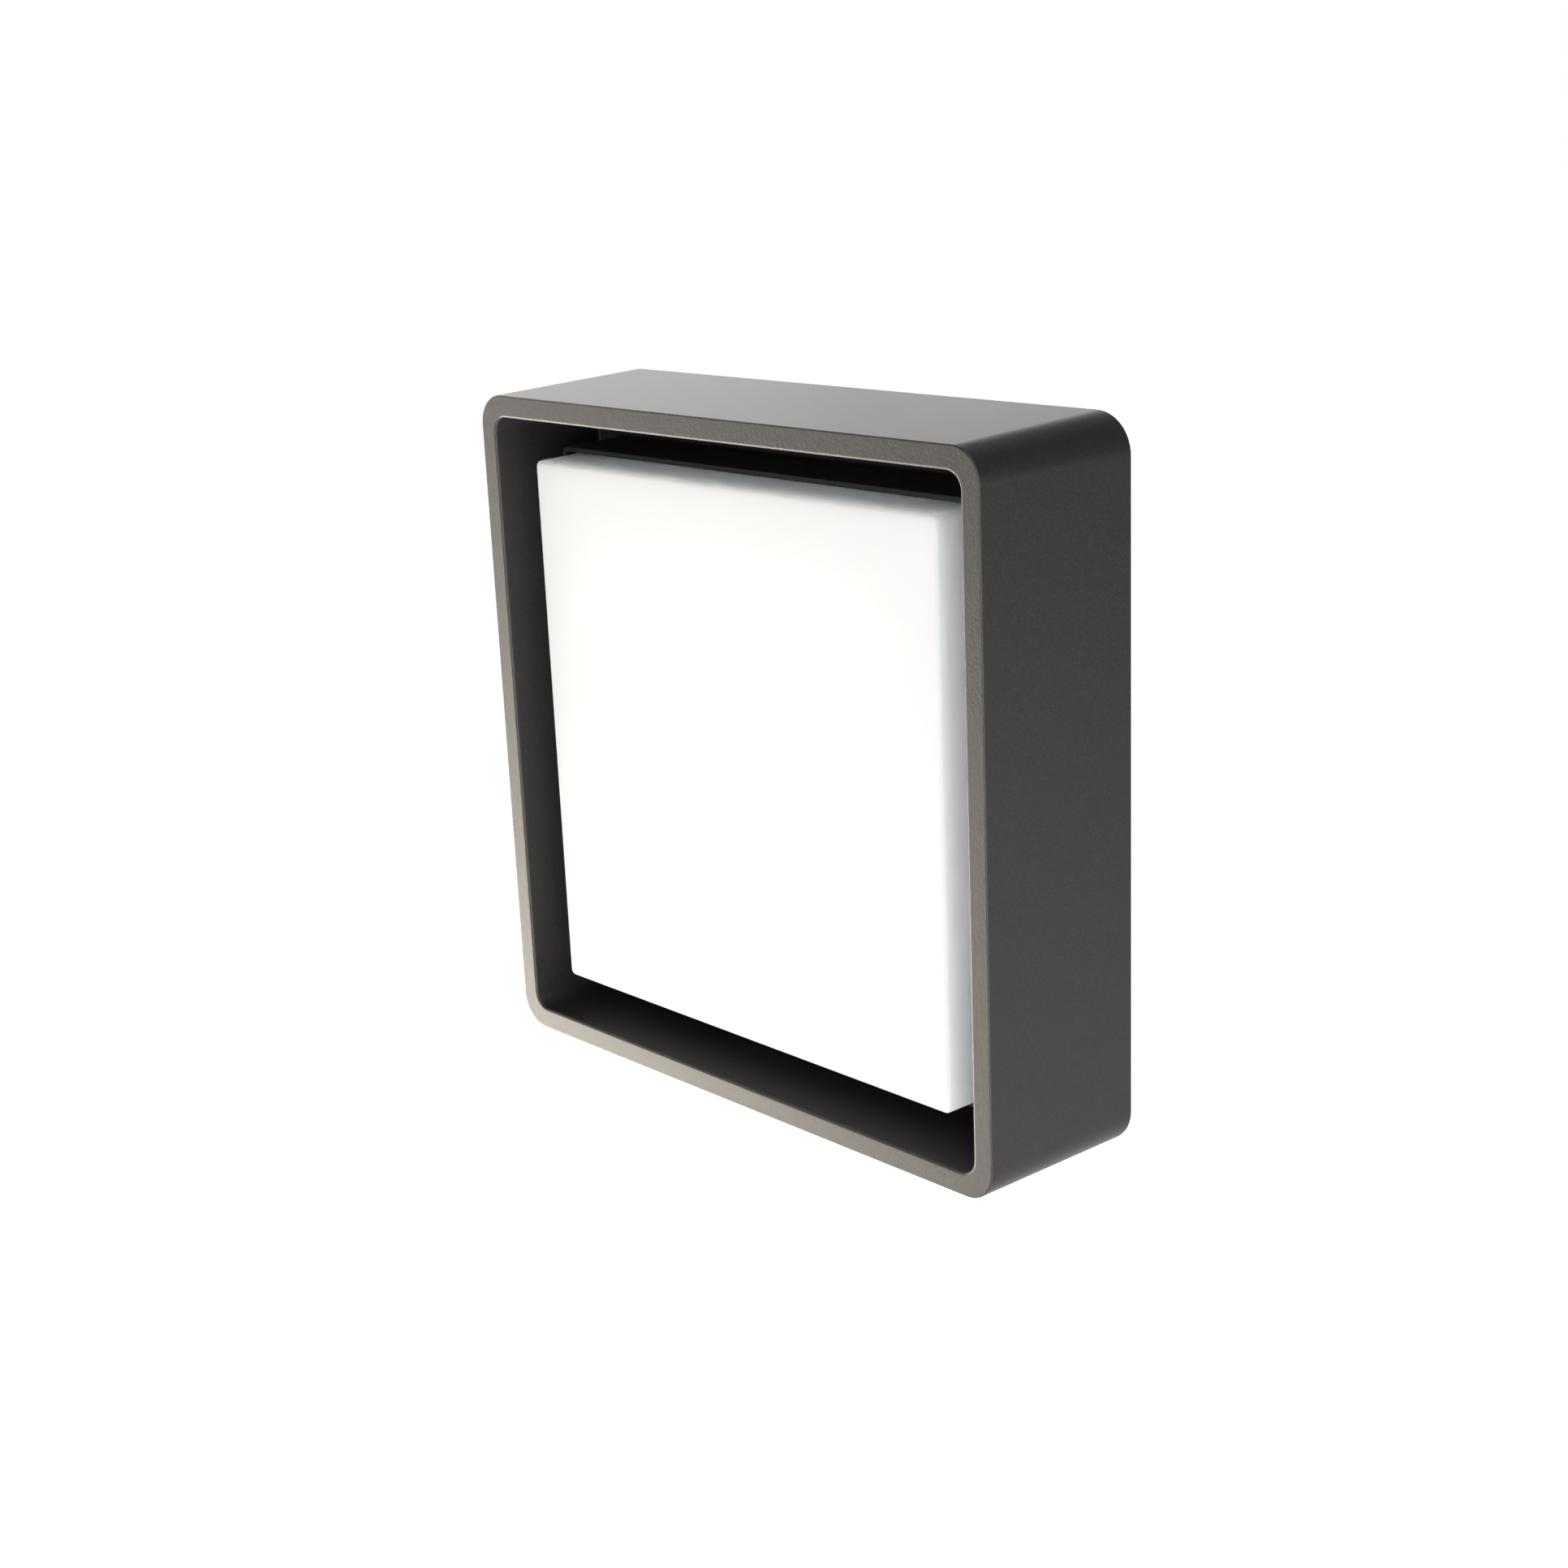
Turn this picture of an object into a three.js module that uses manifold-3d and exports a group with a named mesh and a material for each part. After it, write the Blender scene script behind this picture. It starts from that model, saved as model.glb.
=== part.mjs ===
// Square outdoor wall lantern with an opal LED diffuser. All lengths are in millimetres.
// The origin is the middle of the face that lies on the wall, +Z is up and the light faces -Y.
// Depths are written as w, the distance from the wall: a point at depth w has y = -w.
import * as THREE from "three";
import { mergeVertices } from "three/addons/utils/BufferGeometryUtils.js";
import Module from "manifold-3d";

const wasm = await Module();
wasm.setup();

// ---- Driving dimensions ----

const GAP = 0.3; // clearance between two pieces that touch
const DEPTH = 63.5; // wall to the front of the rim
const FRONT_HALF = 113.35; // half the width of the housing at its rim
const DRAFT = Math.tan(THREE.MathUtils.degToRad(1.8)); // casting draft outside the rim
const RIM_DRAFT = Math.tan(THREE.MathUtils.degToRad(1.5)); // casting draft inside the rim
const COLLAR_DRAFT = Math.tan(THREE.MathUtils.degToRad(1)); // draft of the collar and the diffuser
const BACK_EDGE = 0.5; // the housing's back edge stands this far off the wall
const OUTER_RADIUS = 10.5; // corner radius outside the rim
const RIM_WIDTH = 7.3; // width of the rim's front face
const RIM_RADIUS = 5.5; // corner radius inside the rim
const CAST_WALL = 2.5; // wall thickness of the casting
const RIM_CROWN = 2.8; // thickness of the casting behind the rim's front face
const CHANNEL_FLOOR = 20; // depth of the channel between rim and collar
const CHANNEL_SKIN = 3; // thickness of the channel's floor
const COLLAR_FRONT = 44.7; // front of the collar round the diffuser's foot
const COLLAR_HALF = 94.65;
const COLLAR_WALL = 1.7;
const COLLAR_RADIUS = 3;
const DECK_FRONT = 36; // the plate of the casting that carries the LED board
const DECK_BACK = 33;
const RIB_HALF = 101; // outside of the rib that presses on the body gasket
const RIB_WALL = 2.5;
const RIB_END = 6;

const DIFFUSER_FRONT = 58.5;
const DIFFUSER_HALF = 91.8;
const DIFFUSER_RADIUS = 2.2;
const DIFFUSER_WALL = 2.5;
const DIFFUSER_FOOT = 38.3; // depth of the diffuser's back edge
const FOOT_WIDTH = 5;
const LUG_PLACE = 84; // the four screw lugs stand at plus and minus this, on both axes
const LUG_RADIUS = 4.5;
const LUG_FRONT = 48;

const PLATE_THICKNESS = 2.5;
const PLATE_HALF = 108.5;
const FLANGE_FRONT = 13; // front edge of the plate's turned-up flange
const FLANGE_WALL = 2;
const GROOVE_INNER = 97; // the groove in the plate's back for the wall gasket
const GROOVE_OUTER = 105;
const GROOVE_DEPTH = 1.2;
const ENTRY_X = 30; // the two cable entries stand at plus and minus this
const ENTRY_Z = 45;
const ENTRY_RADIUS = 12.5;
const FIXING_X = 75; // the four wall screw slots
const FIXING_Z = 60;
const FIXING_PAD = 0.6; // the pressed pad round each slot stands this proud of the plate

const LOCK_X = 60; // the two lock screws in the underside
const LOCK_DEPTH = 9;
const LOCK_TRAVEL_END = 114.5; // where the outer end of a tightened lock screw lies

const BOARD_HALF = 74;
const BOARD_THICKNESS = 1.6;
const BOARD_SCREW = 66; // the four board screws stand at plus and minus this
const PAD_HALF = 60;
const LED_PITCH = 36;
const LED_ROWS = 4;
const LED_SIZE = 5;

const M3_SHANK = 1.6;
const M3_HOLE = 1.9;
const M4_SHANK = 2;
const M4_HOLE = 2.3;

const DRIVER = { z: -45, width: 110, height: 44, wall: 2, open: 12 };
const TERMINAL = { x: 62, z: 12, width: 32, height: 18, back: 16.7, pitch: 10 };
const CLAMP = { x: 20, z: 42, reach: 9, back: 21.2, thickness: 3, post: 24.5 };
const EARTH = { x: 80, z: -20, boss: 30 };
const DECK_ENTRY_Z = -81; // the two LED leads pass through the deck here
const LEAD_RADIUS = 1;
const LEAD_BORE = 1.4;
const LEAD_DEPTH = 22; // depth of the lead holes in the driver's case
const TERMINAL_DEPTH = 24; // depth of the wire holes in the terminal block

const CORNER_STEPS = 5; // facets in a rounded corner
const ROUND_STEPS = 12; // facets in a small round piece
const WIDE_STEPS = 20; // facets in a large round piece

// ---- Finishes ----

const FINISH = {
  powderCoat: { color: 0x3a3a3b, roughness: 0.6, metalness: 0.1 },
  opal: { color: 0xf6f5f2, roughness: 0.45, metalness: 0 },
  galvanised: { color: 0xa9adae, roughness: 0.4, metalness: 0.9 },
  zincSteel: { color: 0xc4c6c8, roughness: 0.3, metalness: 1 },
  stainless: { color: 0xb9bbbd, roughness: 0.25, metalness: 1 },
  blackRubber: { color: 0x1b1b1c, roughness: 0.85, metalness: 0 },
  silicone: { color: 0xd5d5d0, roughness: 0.6, metalness: 0 },
  greyPad: { color: 0x8f9597, roughness: 0.8, metalness: 0 },
  boardWhite: { color: 0xeceeea, roughness: 0.5, metalness: 0 },
  ledYellow: { color: 0xe8d87a, roughness: 0.4, metalness: 0 },
  film: { color: 0xf4f4f2, roughness: 0.7, metalness: 0 },
  whitePlastic: { color: 0xe6e6e2, roughness: 0.5, metalness: 0 },
  boardGreen: { color: 0x2f5d3a, roughness: 0.5, metalness: 0 },
  coreTape: { color: 0xd9b13a, roughness: 0.6, metalness: 0 },
  canBlack: { color: 0x202226, roughness: 0.35, metalness: 0.2 },
  greyPlastic: { color: 0x9da0a1, roughness: 0.5, metalness: 0 },
  orangePlastic: { color: 0xd9691c, roughness: 0.45, metalness: 0 },
  blackPlastic: { color: 0x232425, roughness: 0.5, metalness: 0 },
  brownLead: { color: 0x5c3a22, roughness: 0.5, metalness: 0 },
  blueLead: { color: 0x2460a8, roughness: 0.5, metalness: 0 },
  earthLead: { color: 0x7d9b2c, roughness: 0.5, metalness: 0 },
  redLead: { color: 0xb02422, roughness: 0.5, metalness: 0 },
  blackLead: { color: 0x1d1d1e, roughness: 0.5, metalness: 0 },
};

// ---- Solids ----

// A closed geometry as a solid that can be joined and cut.
function solidFrom(geometry) {
  const loose = geometry.index ? geometry.toNonIndexed() : geometry;
  const bare = new THREE.BufferGeometry();
  bare.setAttribute("position", loose.getAttribute("position"));
  const merged = mergeVertices(bare, 1e-4);
  const index = Array.from(merged.index.array);
  const triVerts = [];
  for (let i = 0; i < index.length; i += 3) {
    const [a, b, c] = index.slice(i, i + 3);
    if (a !== b && b !== c && c !== a) triVerts.push(a, b, c);
  }
  const mesh = new wasm.Mesh({
    numProp: 3,
    vertProperties: merged.getAttribute("position").array,
    triVerts: new Uint32Array(triVerts),
  });
  return new wasm.Manifold(mesh);
}

// A solid as a geometry with flat faces.
function geometryFrom(solid) {
  const { numProp, numVert, vertProperties, triVerts } = solid.getMesh();
  const position = new Float32Array(numVert * 3);
  for (let i = 0; i < numVert; i += 1) {
    position.set(vertProperties.subarray(i * numProp, i * numProp + 3), i * 3);
  }
  const shared = new THREE.BufferGeometry();
  shared.setAttribute("position", new THREE.BufferAttribute(position, 3));
  shared.setIndex(new THREE.BufferAttribute(triVerts, 1));
  const geometry = shared.toNonIndexed();
  geometry.computeVertexNormals();
  return geometry;
}

// The outline of a square with rounded corners at one depth, anticlockwise seen from the front.
function squareOutline([half, radius, w]) {
  const cornerReach = (half - radius) * Math.SQRT2;
  const points = [];
  for (let corner = 0; corner < 4; corner += 1) {
    const diagonal = (corner + 0.5) * (Math.PI / 2);
    for (let step = 0; step <= CORNER_STEPS; step += 1) {
      const turn = (corner + step / CORNER_STEPS) * (Math.PI / 2);
      const x = cornerReach * Math.cos(diagonal) + radius * Math.cos(turn);
      const z = cornerReach * Math.sin(diagonal) + radius * Math.sin(turn);
      points.push(new THREE.Vector3(x, -w, z));
    }
  }
  return points;
}

// A square counterpart of a lathe: the rows of the profile are [half width, corner radius, depth].
// The profile runs front, outside, back, inside. It starts and ends on the axis with a half width
// of 0, or it closes on itself.
function squareLathe(profile) {
  const rings = profile.map(squareOutline);
  if (profile[0][0] > 0) rings.push(rings[0]);
  const corners = [];
  for (let row = 0; row + 1 < rings.length; row += 1) {
    const count = rings[row].length;
    for (let i = 0; i < count; i += 1) {
      const next = (i + 1) % count;
      const [a, b] = [rings[row][i], rings[row][next]];
      const [d, c] = [rings[row + 1][i], rings[row + 1][next]];
      corners.push(a, d, c, a, c, b);
    }
  }
  return solidFrom(new THREE.BufferGeometry().setFromPoints(corners));
}

// A block between two depths, centred on x and z.
function block(x, z, width, height, back, front) {
  const box = new THREE.BoxGeometry(width, front - back, height);
  return solidFrom(box.translate(x, -(back + front) / 2, z));
}

// A round bar along the depth, between two depths.
function bar(x, z, radius, back, front, sides = ROUND_STEPS) {
  const round = new THREE.CylinderGeometry(radius, radius, front - back, sides);
  return solidFrom(round.translate(x, -(back + front) / 2, z));
}

// A round bar standing along Z at depth w, between two heights.
function upright(x, w, radius, low, high, sides = ROUND_STEPS) {
  const round = new THREE.CylinderGeometry(radius, radius, high - low, sides);
  return solidFrom(round.rotateX(Math.PI / 2).translate(x, -w, (low + high) / 2));
}

// A ring or disc turned about the depth axis: the profile rows are [radius, depth].
function turned(profile, sides = ROUND_STEPS) {
  const points = profile.map(([radius, w]) => new THREE.Vector2(radius, -w));
  if (profile[0][0] > 0) points.push(points[0].clone());
  return solidFrom(new THREE.LatheGeometry(points, sides));
}

function joinAll(solids) {
  return solids.reduce((whole, piece) => whole.add(piece));
}

function cutAll(solid, cutters) {
  return cutters.reduce((rest, cutter) => rest.subtract(cutter), solid);
}

// The four places that are the same distance from the middle on both axes.
function fourCorners(reach) {
  return [
    [-reach, -reach],
    [reach, -reach],
    [reach, reach],
    [-reach, reach],
  ];
}

function addPiece(group, name, solid, finish) {
  const material = new THREE.MeshStandardMaterial(finish);
  const mesh = new THREE.Mesh(geometryFrom(solid), material);
  mesh.name = name;
  group.add(mesh);
  return mesh;
}

// ---- Housing ----

const outerHalf = (w) => FRONT_HALF + (DEPTH - w) * DRAFT;
const rimInnerHalf = (w) => FRONT_HALF - RIM_WIDTH - (DEPTH - w) * RIM_DRAFT;
const collarHalf = (w) => COLLAR_HALF + (COLLAR_FRONT - w) * COLLAR_DRAFT;

// One row of the casting's outside, set in by a distance.
const outerRow = (w, inset) => [outerHalf(w) - inset, OUTER_RADIUS + outerHalf(w) - FRONT_HALF - inset, w];

// One row of the face inside the rim, set out by a distance.
function rimRow(w, outset) {
  const half = rimInnerHalf(w) + outset;
  return [half, RIM_RADIUS + half - rimInnerHalf(DEPTH), w];
}

function makeHousing() {
  const crownBack = DEPTH - RIM_CROWN;
  const channelBack = CHANNEL_FLOOR - CHANNEL_SKIN;
  const collarInner = COLLAR_HALF - COLLAR_WALL;
  const innerRadius = COLLAR_RADIUS - COLLAR_WALL + 0.3;
  const casting = squareLathe([
    [0, 0, DECK_FRONT],
    [collarInner - 0.1, innerRadius, DECK_FRONT],
    [collarInner, innerRadius, COLLAR_FRONT],
    [COLLAR_HALF, COLLAR_RADIUS, COLLAR_FRONT],
    [collarHalf(CHANNEL_FLOOR), COLLAR_RADIUS + 0.4, CHANNEL_FLOOR],
    rimRow(CHANNEL_FLOOR, 0),
    rimRow(DEPTH, 0),
    outerRow(DEPTH, 0),
    outerRow(BACK_EDGE, 0),
    outerRow(BACK_EDGE, CAST_WALL),
    outerRow(crownBack, CAST_WALL),
    rimRow(crownBack, CAST_WALL),
    rimRow(channelBack, CAST_WALL),
    [RIB_HALF, 5, channelBack],
    [RIB_HALF, 5, RIB_END],
    [RIB_HALF - RIB_WALL, 3, RIB_END],
    [RIB_HALF - RIB_WALL, 3, channelBack],
    [collarHalf(channelBack) - CAST_WALL, COLLAR_RADIUS - 0.6, channelBack],
    [collarHalf(DECK_BACK) - CAST_WALL, COLLAR_RADIUS - 0.8, DECK_BACK],
    [0, 0, DECK_BACK],
  ]);
  const additions = [];
  const cutters = [];
  for (const x of [-LOCK_X, LOCK_X]) {
    // A boss gives the lock screw more thread than the wall has.
    const bossTop = -PLATE_HALF - 0.8;
    const bossLow = -outerHalf(LOCK_DEPTH) + CAST_WALL - 0.4;
    additions.push(block(x, (bossTop + bossLow) / 2, 10, bossTop - bossLow, 4, 14));
    cutters.push(upright(x, LOCK_DEPTH, M4_HOLE, -outerHalf(0) - 2, -PLATE_HALF + 1));
  }
  for (const [x, z] of fourCorners(BOARD_SCREW)) {
    additions.push(bar(x, z, 4, DECK_FRONT - 0.5, DECK_FRONT + 1.3));
    cutters.push(bar(x, z, M3_HOLE, DECK_BACK + 0.8, DECK_FRONT + 3));
  }
  for (const [x, z] of fourCorners(LUG_PLACE)) {
    cutters.push(bar(x, z, M3_HOLE, DECK_BACK - 2, DECK_FRONT + 2));
  }
  for (const side of [-1, 1]) {
    const driverScrewX = side * (DRIVER.width / 2 + 5);
    cutters.push(bar(driverScrewX, DRIVER.z, M3_HOLE, DECK_BACK - 1, DECK_BACK + 2.3));
    const postZ = CLAMP.z + side * CLAMP.reach;
    additions.push(bar(CLAMP.x, postZ, 3.5, CLAMP.post, DECK_BACK + 0.5));
    cutters.push(bar(CLAMP.x, postZ, M3_HOLE, CLAMP.post - 1, DECK_BACK - 1.5));
  }
  additions.push(bar(EARTH.x, EARTH.z, 4.5, EARTH.boss, DECK_BACK + 0.5));
  cutters.push(bar(EARTH.x, EARTH.z, M4_HOLE, EARTH.boss - 1, DECK_BACK + 1.8));
  cutters.push(bar(0, DECK_ENTRY_Z, 4.3, DECK_BACK - 2, DECK_FRONT + 2));
  return cutAll(joinAll([casting, ...additions]), cutters);
}

// ---- Diffuser and its gasket ----

function makeDiffuser() {
  const half = (w) => DIFFUSER_HALF + (DIFFUSER_FRONT - w) * COLLAR_DRAFT;
  const inside = (w) => half(w) - DIFFUSER_WALL;
  const footTop = DIFFUSER_FOOT + 2.5;
  const footInner = half(DIFFUSER_FOOT) - FOOT_WIDTH;
  const crownBack = DIFFUSER_FRONT - DIFFUSER_WALL;
  const cover = squareLathe([
    [0, 0, DIFFUSER_FRONT],
    [DIFFUSER_HALF - 1.2, DIFFUSER_RADIUS - 1, DIFFUSER_FRONT],
    [DIFFUSER_HALF - 0.3, DIFFUSER_RADIUS - 0.2, DIFFUSER_FRONT - 0.4],
    [DIFFUSER_HALF, DIFFUSER_RADIUS, DIFFUSER_FRONT - 1.2],
    [half(DIFFUSER_FOOT), DIFFUSER_RADIUS, DIFFUSER_FOOT],
    [footInner, 1, DIFFUSER_FOOT],
    [footInner, 1, footTop],
    [inside(footTop), 1.2, footTop],
    [inside(crownBack), 1.2, crownBack],
    [0, 0, crownBack],
  ]);
  const lugs = [];
  const cutters = [];
  for (const [x, z] of fourCorners(LUG_PLACE)) {
    lugs.push(bar(x, z, LUG_RADIUS, DIFFUSER_FOOT, LUG_FRONT));
    // A web ties each lug to the corner of the wall.
    const web = Math.sign(x) * 3.4;
    const rise = Math.sign(z) * 3.4;
    lugs.push(block(x + web, z + rise, 6, 6, DIFFUSER_FOOT, LUG_FRONT));
    cutters.push(bar(x, z, M3_HOLE, DIFFUSER_FOOT - 1, LUG_FRONT - 2));
  }
  return cutAll(joinAll([cover, ...lugs]), cutters);
}

// ---- Loops that seal ----

function squareBand(inner, outer, innerRadius, outerRadius, back, front) {
  return squareLathe([
    [inner, innerRadius, front],
    [outer, outerRadius, front],
    [outer, outerRadius, back],
    [inner, innerRadius, back],
  ]);
}

// ---- Mounting plate ----

// A cutter for a slot that lies flat or stands up.
function slotCutter(x, z, length, width, standing) {
  const run = (length - width) / 2;
  const outline = new THREE.Shape();
  outline.absarc(run, 0, width / 2, -Math.PI / 2, Math.PI / 2, false);
  outline.absarc(-run, 0, width / 2, Math.PI / 2, (3 * Math.PI) / 2, false);
  const slot = new THREE.ExtrudeGeometry(outline, {
    depth: PLATE_THICKNESS + 4,
    bevelEnabled: false,
    curveSegments: 6,
  });
  if (standing) slot.rotateZ(Math.PI / 2);
  return solidFrom(slot.rotateX(Math.PI / 2).translate(x, 2, z));
}

function makePlate() {
  const sheet = squareLathe([
    [0, 0, PLATE_THICKNESS],
    [PLATE_HALF - FLANGE_WALL, 5.5, PLATE_THICKNESS],
    [PLATE_HALF - FLANGE_WALL, 5.5, FLANGE_FRONT],
    [PLATE_HALF, 7.5, FLANGE_FRONT],
    [PLATE_HALF, 7.5, 0],
    [GROOVE_OUTER, 6, 0],
    [GROOVE_OUTER, 6, GROOVE_DEPTH],
    [GROOVE_INNER, 4, GROOVE_DEPTH],
    [GROOVE_INNER, 4, 0],
    [0, 0, 0],
  ]);
  const pads = [];
  const cutters = [];
  for (const side of [-1, 1]) {
    const padBack = PLATE_THICKNESS - 0.5;
    const padFront = PLATE_THICKNESS + FIXING_PAD;
    pads.push(block(side * FIXING_X, FIXING_Z, 24, 16, padBack, padFront));
    pads.push(block(side * FIXING_X, -FIXING_Z, 16, 24, padBack, padFront));
    cutters.push(bar(side * ENTRY_X, ENTRY_Z, ENTRY_RADIUS, -2, PLATE_THICKNESS + 2, WIDE_STEPS));
    cutters.push(slotCutter(side * FIXING_X, FIXING_Z, 14, 5.2, false));
    cutters.push(slotCutter(side * FIXING_X, -FIXING_Z, 14, 5.2, true));
  }
  return cutAll(joinAll([sheet, ...pads]), cutters);
}

// ---- Rubber cable entries ----

function makeCableGrommet() {
  const flangeBack = PLATE_THICKNESS + GAP;
  const neck = ENTRY_RADIUS - GAP;
  return turned(
    [
      [3.5, 14],
      [5.2, 14],
      [11, flangeBack + 2],
      [15.5, flangeBack + 2],
      [15.5, flangeBack],
      [neck, flangeBack],
      [neck, GAP],
      [9.5, GAP],
      [9.5, flangeBack],
      [3.5, 12.4],
    ],
    WIDE_STEPS,
  );
}

function makeBlankGrommet() {
  const flangeBack = PLATE_THICKNESS + GAP;
  const neck = ENTRY_RADIUS - GAP;
  return turned(
    [
      [0, flangeBack + 1.2],
      [9, flangeBack + 1.2],
      [10, flangeBack + 2],
      [15.5, flangeBack + 2],
      [15.5, flangeBack],
      [neck, flangeBack],
      [neck, GAP],
      [9.5, GAP],
      [9.5, flangeBack - 0.3],
      [0, flangeBack - 0.3],
    ],
    WIDE_STEPS,
  );
}

function makeDeckGrommet() {
  const [back, front] = [DECK_BACK - GAP, DECK_FRONT + GAP];
  return turned([
    [2.7, front + 1.5],
    [5, front + 1.5],
    [5, front],
    [4, front],
    [4, back],
    [5.2, back],
    [5.2, back - 1.5],
    [2.7, back - 1.5],
  ]);
}

// ---- Screws ----

// A pan head screw with its head to the front and the underside of the head at y = 0.
function makeScrew(headRadius, headHeight, shankRadius, length) {
  const body = turned([
    [0, headHeight],
    [headRadius * 0.55, headHeight],
    [headRadius * 0.9, headHeight * 0.7],
    [headRadius, headHeight * 0.3],
    [headRadius, 0],
    [shankRadius, 0],
    [shankRadius, 0.6 - length],
    [shankRadius * 0.6, -length],
    [0, -length],
  ]);
  const slotWidth = headRadius * 0.26;
  const slotReach = headRadius * 1.15;
  const slotFloor = headHeight * 0.45;
  const across = block(0, 0, slotReach, slotWidth, slotFloor, headHeight + 1);
  const along = block(0, 0, slotWidth, slotReach, slotFloor, headHeight + 1);
  return cutAll(body, [across.add(along)]);
}

// A set screw that stands along Z with its hexagon socket downwards and its lower end at z = 0.
function makeSetScrew(length) {
  const chamfer = 0.4;
  const body = turned([
    [0, length],
    [M4_SHANK - chamfer, length],
    [M4_SHANK, length - chamfer],
    [M4_SHANK, chamfer],
    [M4_SHANK - chamfer, 0],
    [0, 0],
  ]);
  const socket = bar(0, 0, 1.15, -1, 2, 6);
  return body.subtract(socket).rotate([-90, 0, 0]);
}

// ---- LED board and what is on it ----

const boardBack = DECK_FRONT + 1.6;
const boardFront = boardBack + BOARD_THICKNESS;
const sheetBack = boardFront + GAP;
const sheetFront = sheetBack + 0.6;
const ledPlaces = [];
for (let row = 0; row < LED_ROWS; row += 1) {
  for (let column = 0; column < LED_ROWS; column += 1) {
    const middle = (LED_ROWS - 1) / 2;
    ledPlaces.push([(column - middle) * LED_PITCH, (middle - row) * LED_PITCH]);
  }
}
const CONNECTOR = { z: -68, width: 12, height: 6, tall: 4.2 };

function makeBoard() {
  const board = squareLathe([
    [0, 0, boardFront],
    [BOARD_HALF, 3, boardFront],
    [BOARD_HALF, 3, boardBack],
    [0, 0, boardBack],
  ]);
  const holes = fourCorners(BOARD_SCREW).map(([x, z]) => bar(x, z, M3_HOLE, boardBack - 1, boardFront + 1));
  return cutAll(board, holes);
}

function makeReflector() {
  const half = BOARD_HALF + 1;
  const sheet = squareLathe([
    [0, 0, sheetFront],
    [half, 3, sheetFront],
    [half, 3, sheetBack],
    [0, 0, sheetBack],
  ]);
  const cutters = [];
  for (const [x, z] of ledPlaces) {
    cutters.push(bar(x, z, 4.4, sheetBack - 1, sheetFront + 1, 8));
  }
  for (const [x, z] of fourCorners(BOARD_SCREW)) {
    cutters.push(bar(x, z, M3_HOLE, sheetBack - 1, sheetFront + 1));
  }
  // A notch in the lower edge leaves room for the connector and its leads.
  cutters.push(block(0, -half, 16, 2 * (half + CONNECTOR.z + 5), sheetBack - 1, sheetFront + 1));
  return cutAll(sheet, cutters);
}

function makeConnector() {
  const front = sheetBack + CONNECTOR.tall;
  const shell = block(0, CONNECTOR.z, CONNECTOR.width, CONNECTOR.height, sheetBack, front);
  const keys = [-1, 1].map((side) => block(side * 3, CONNECTOR.z + 1, 3, 2, front - 0.8, front + 1));
  return cutAll(shell, keys);
}

// ---- Driver ----

const caseBack = DRIVER.open;
const caseFront = DECK_BACK - GAP;
const caseFloor = caseFront - DRIVER.wall;
const liveX = 40; // the driver's two supply leads, and mirrored, its two output leads
const neutralX = 46;

function makeDriverCase() {
  const { z, width, height, wall } = DRIVER;
  const outside = block(0, z, width, height, caseBack, caseFront);
  const ears = block(0, z, width + 20, 14, caseFloor, caseFront);
  const ledges = [];
  for (const x of [-1, 1]) {
    for (const side of [-1, 1]) {
      const ledgeX = x * (width / 2 - 4);
      const ledgeZ = z + side * (height / 2 - 4);
      ledges.push(block(ledgeX, ledgeZ, 5, 5, caseFloor - 0.8, caseFloor + 0.5));
    }
  }
  const inside = block(0, z, width - 2 * wall, height - 2 * wall, caseBack - 1, caseFloor);
  const cutters = [];
  for (const side of [-1, 1]) {
    cutters.push(bar(side * (width / 2 + 5), z, M3_HOLE, caseFloor - 1, caseFront + 1));
    for (const x of [liveX, neutralX]) {
      const edge = z + side * (height / 2);
      cutters.push(upright(side * x, LEAD_DEPTH, LEAD_BORE, edge - 3, edge + 3, 12));
    }
  }
  const shell = cutAll(outside.add(ears), [inside]);
  return cutAll(joinAll([shell, ...ledges]), cutters);
}

function makeDriverLid() {
  const { z, width, height, wall } = DRIVER;
  const front = caseBack - GAP;
  const lid = block(0, z, width, height, front - 1.7, front);
  const inner = [width - 2 * (wall + GAP), height - 2 * (wall + GAP)];
  const lip = block(0, z, inner[0], inner[1], front - 0.5, front + 2);
  const hollow = block(0, z, inner[0] - 3, inner[1] - 3, front, front + 3);
  return lid.add(lip).subtract(hollow);
}

const driverBoardFront = caseFloor - 0.8 - GAP;
const driverBoardBack = driverBoardFront - 1.6;

function makeDriverBoard() {
  const { z, width, height, wall } = DRIVER;
  const trim = 2 * (wall + 0.5);
  return block(0, z, width - trim, height - trim, driverBoardBack, driverBoardFront);
}

function makeTransformer() {
  const top = driverBoardBack - GAP;
  const bobbin = block(8, DRIVER.z, 24, 22, top - 3, top);
  const core = block(8, DRIVER.z, 20, 24, top - 12, top - 2.5);
  const winding = block(8, DRIVER.z, 24, 16, top - 10.5, top - 2.5);
  return joinAll([bobbin, core, winding]);
}

function makeCapacitor() {
  const top = driverBoardBack - GAP;
  const body = [
    [0, top],
    [4.6, top],
    [5, top - 0.6],
    [5, top - 12],
    [4.4, top - 12.6],
    [0, top - 12.6],
  ];
  return turned(body);
}

// ---- Terminal block, clamp and earth point ----

const terminalFront = DECK_BACK - GAP;
const poles = [-1, 0, 1].map((step) => TERMINAL.x + step * TERMINAL.pitch);
const BUTTON = { size: 6, proud: 2.5, sunk: 2.5, travel: 1.5 };

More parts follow.
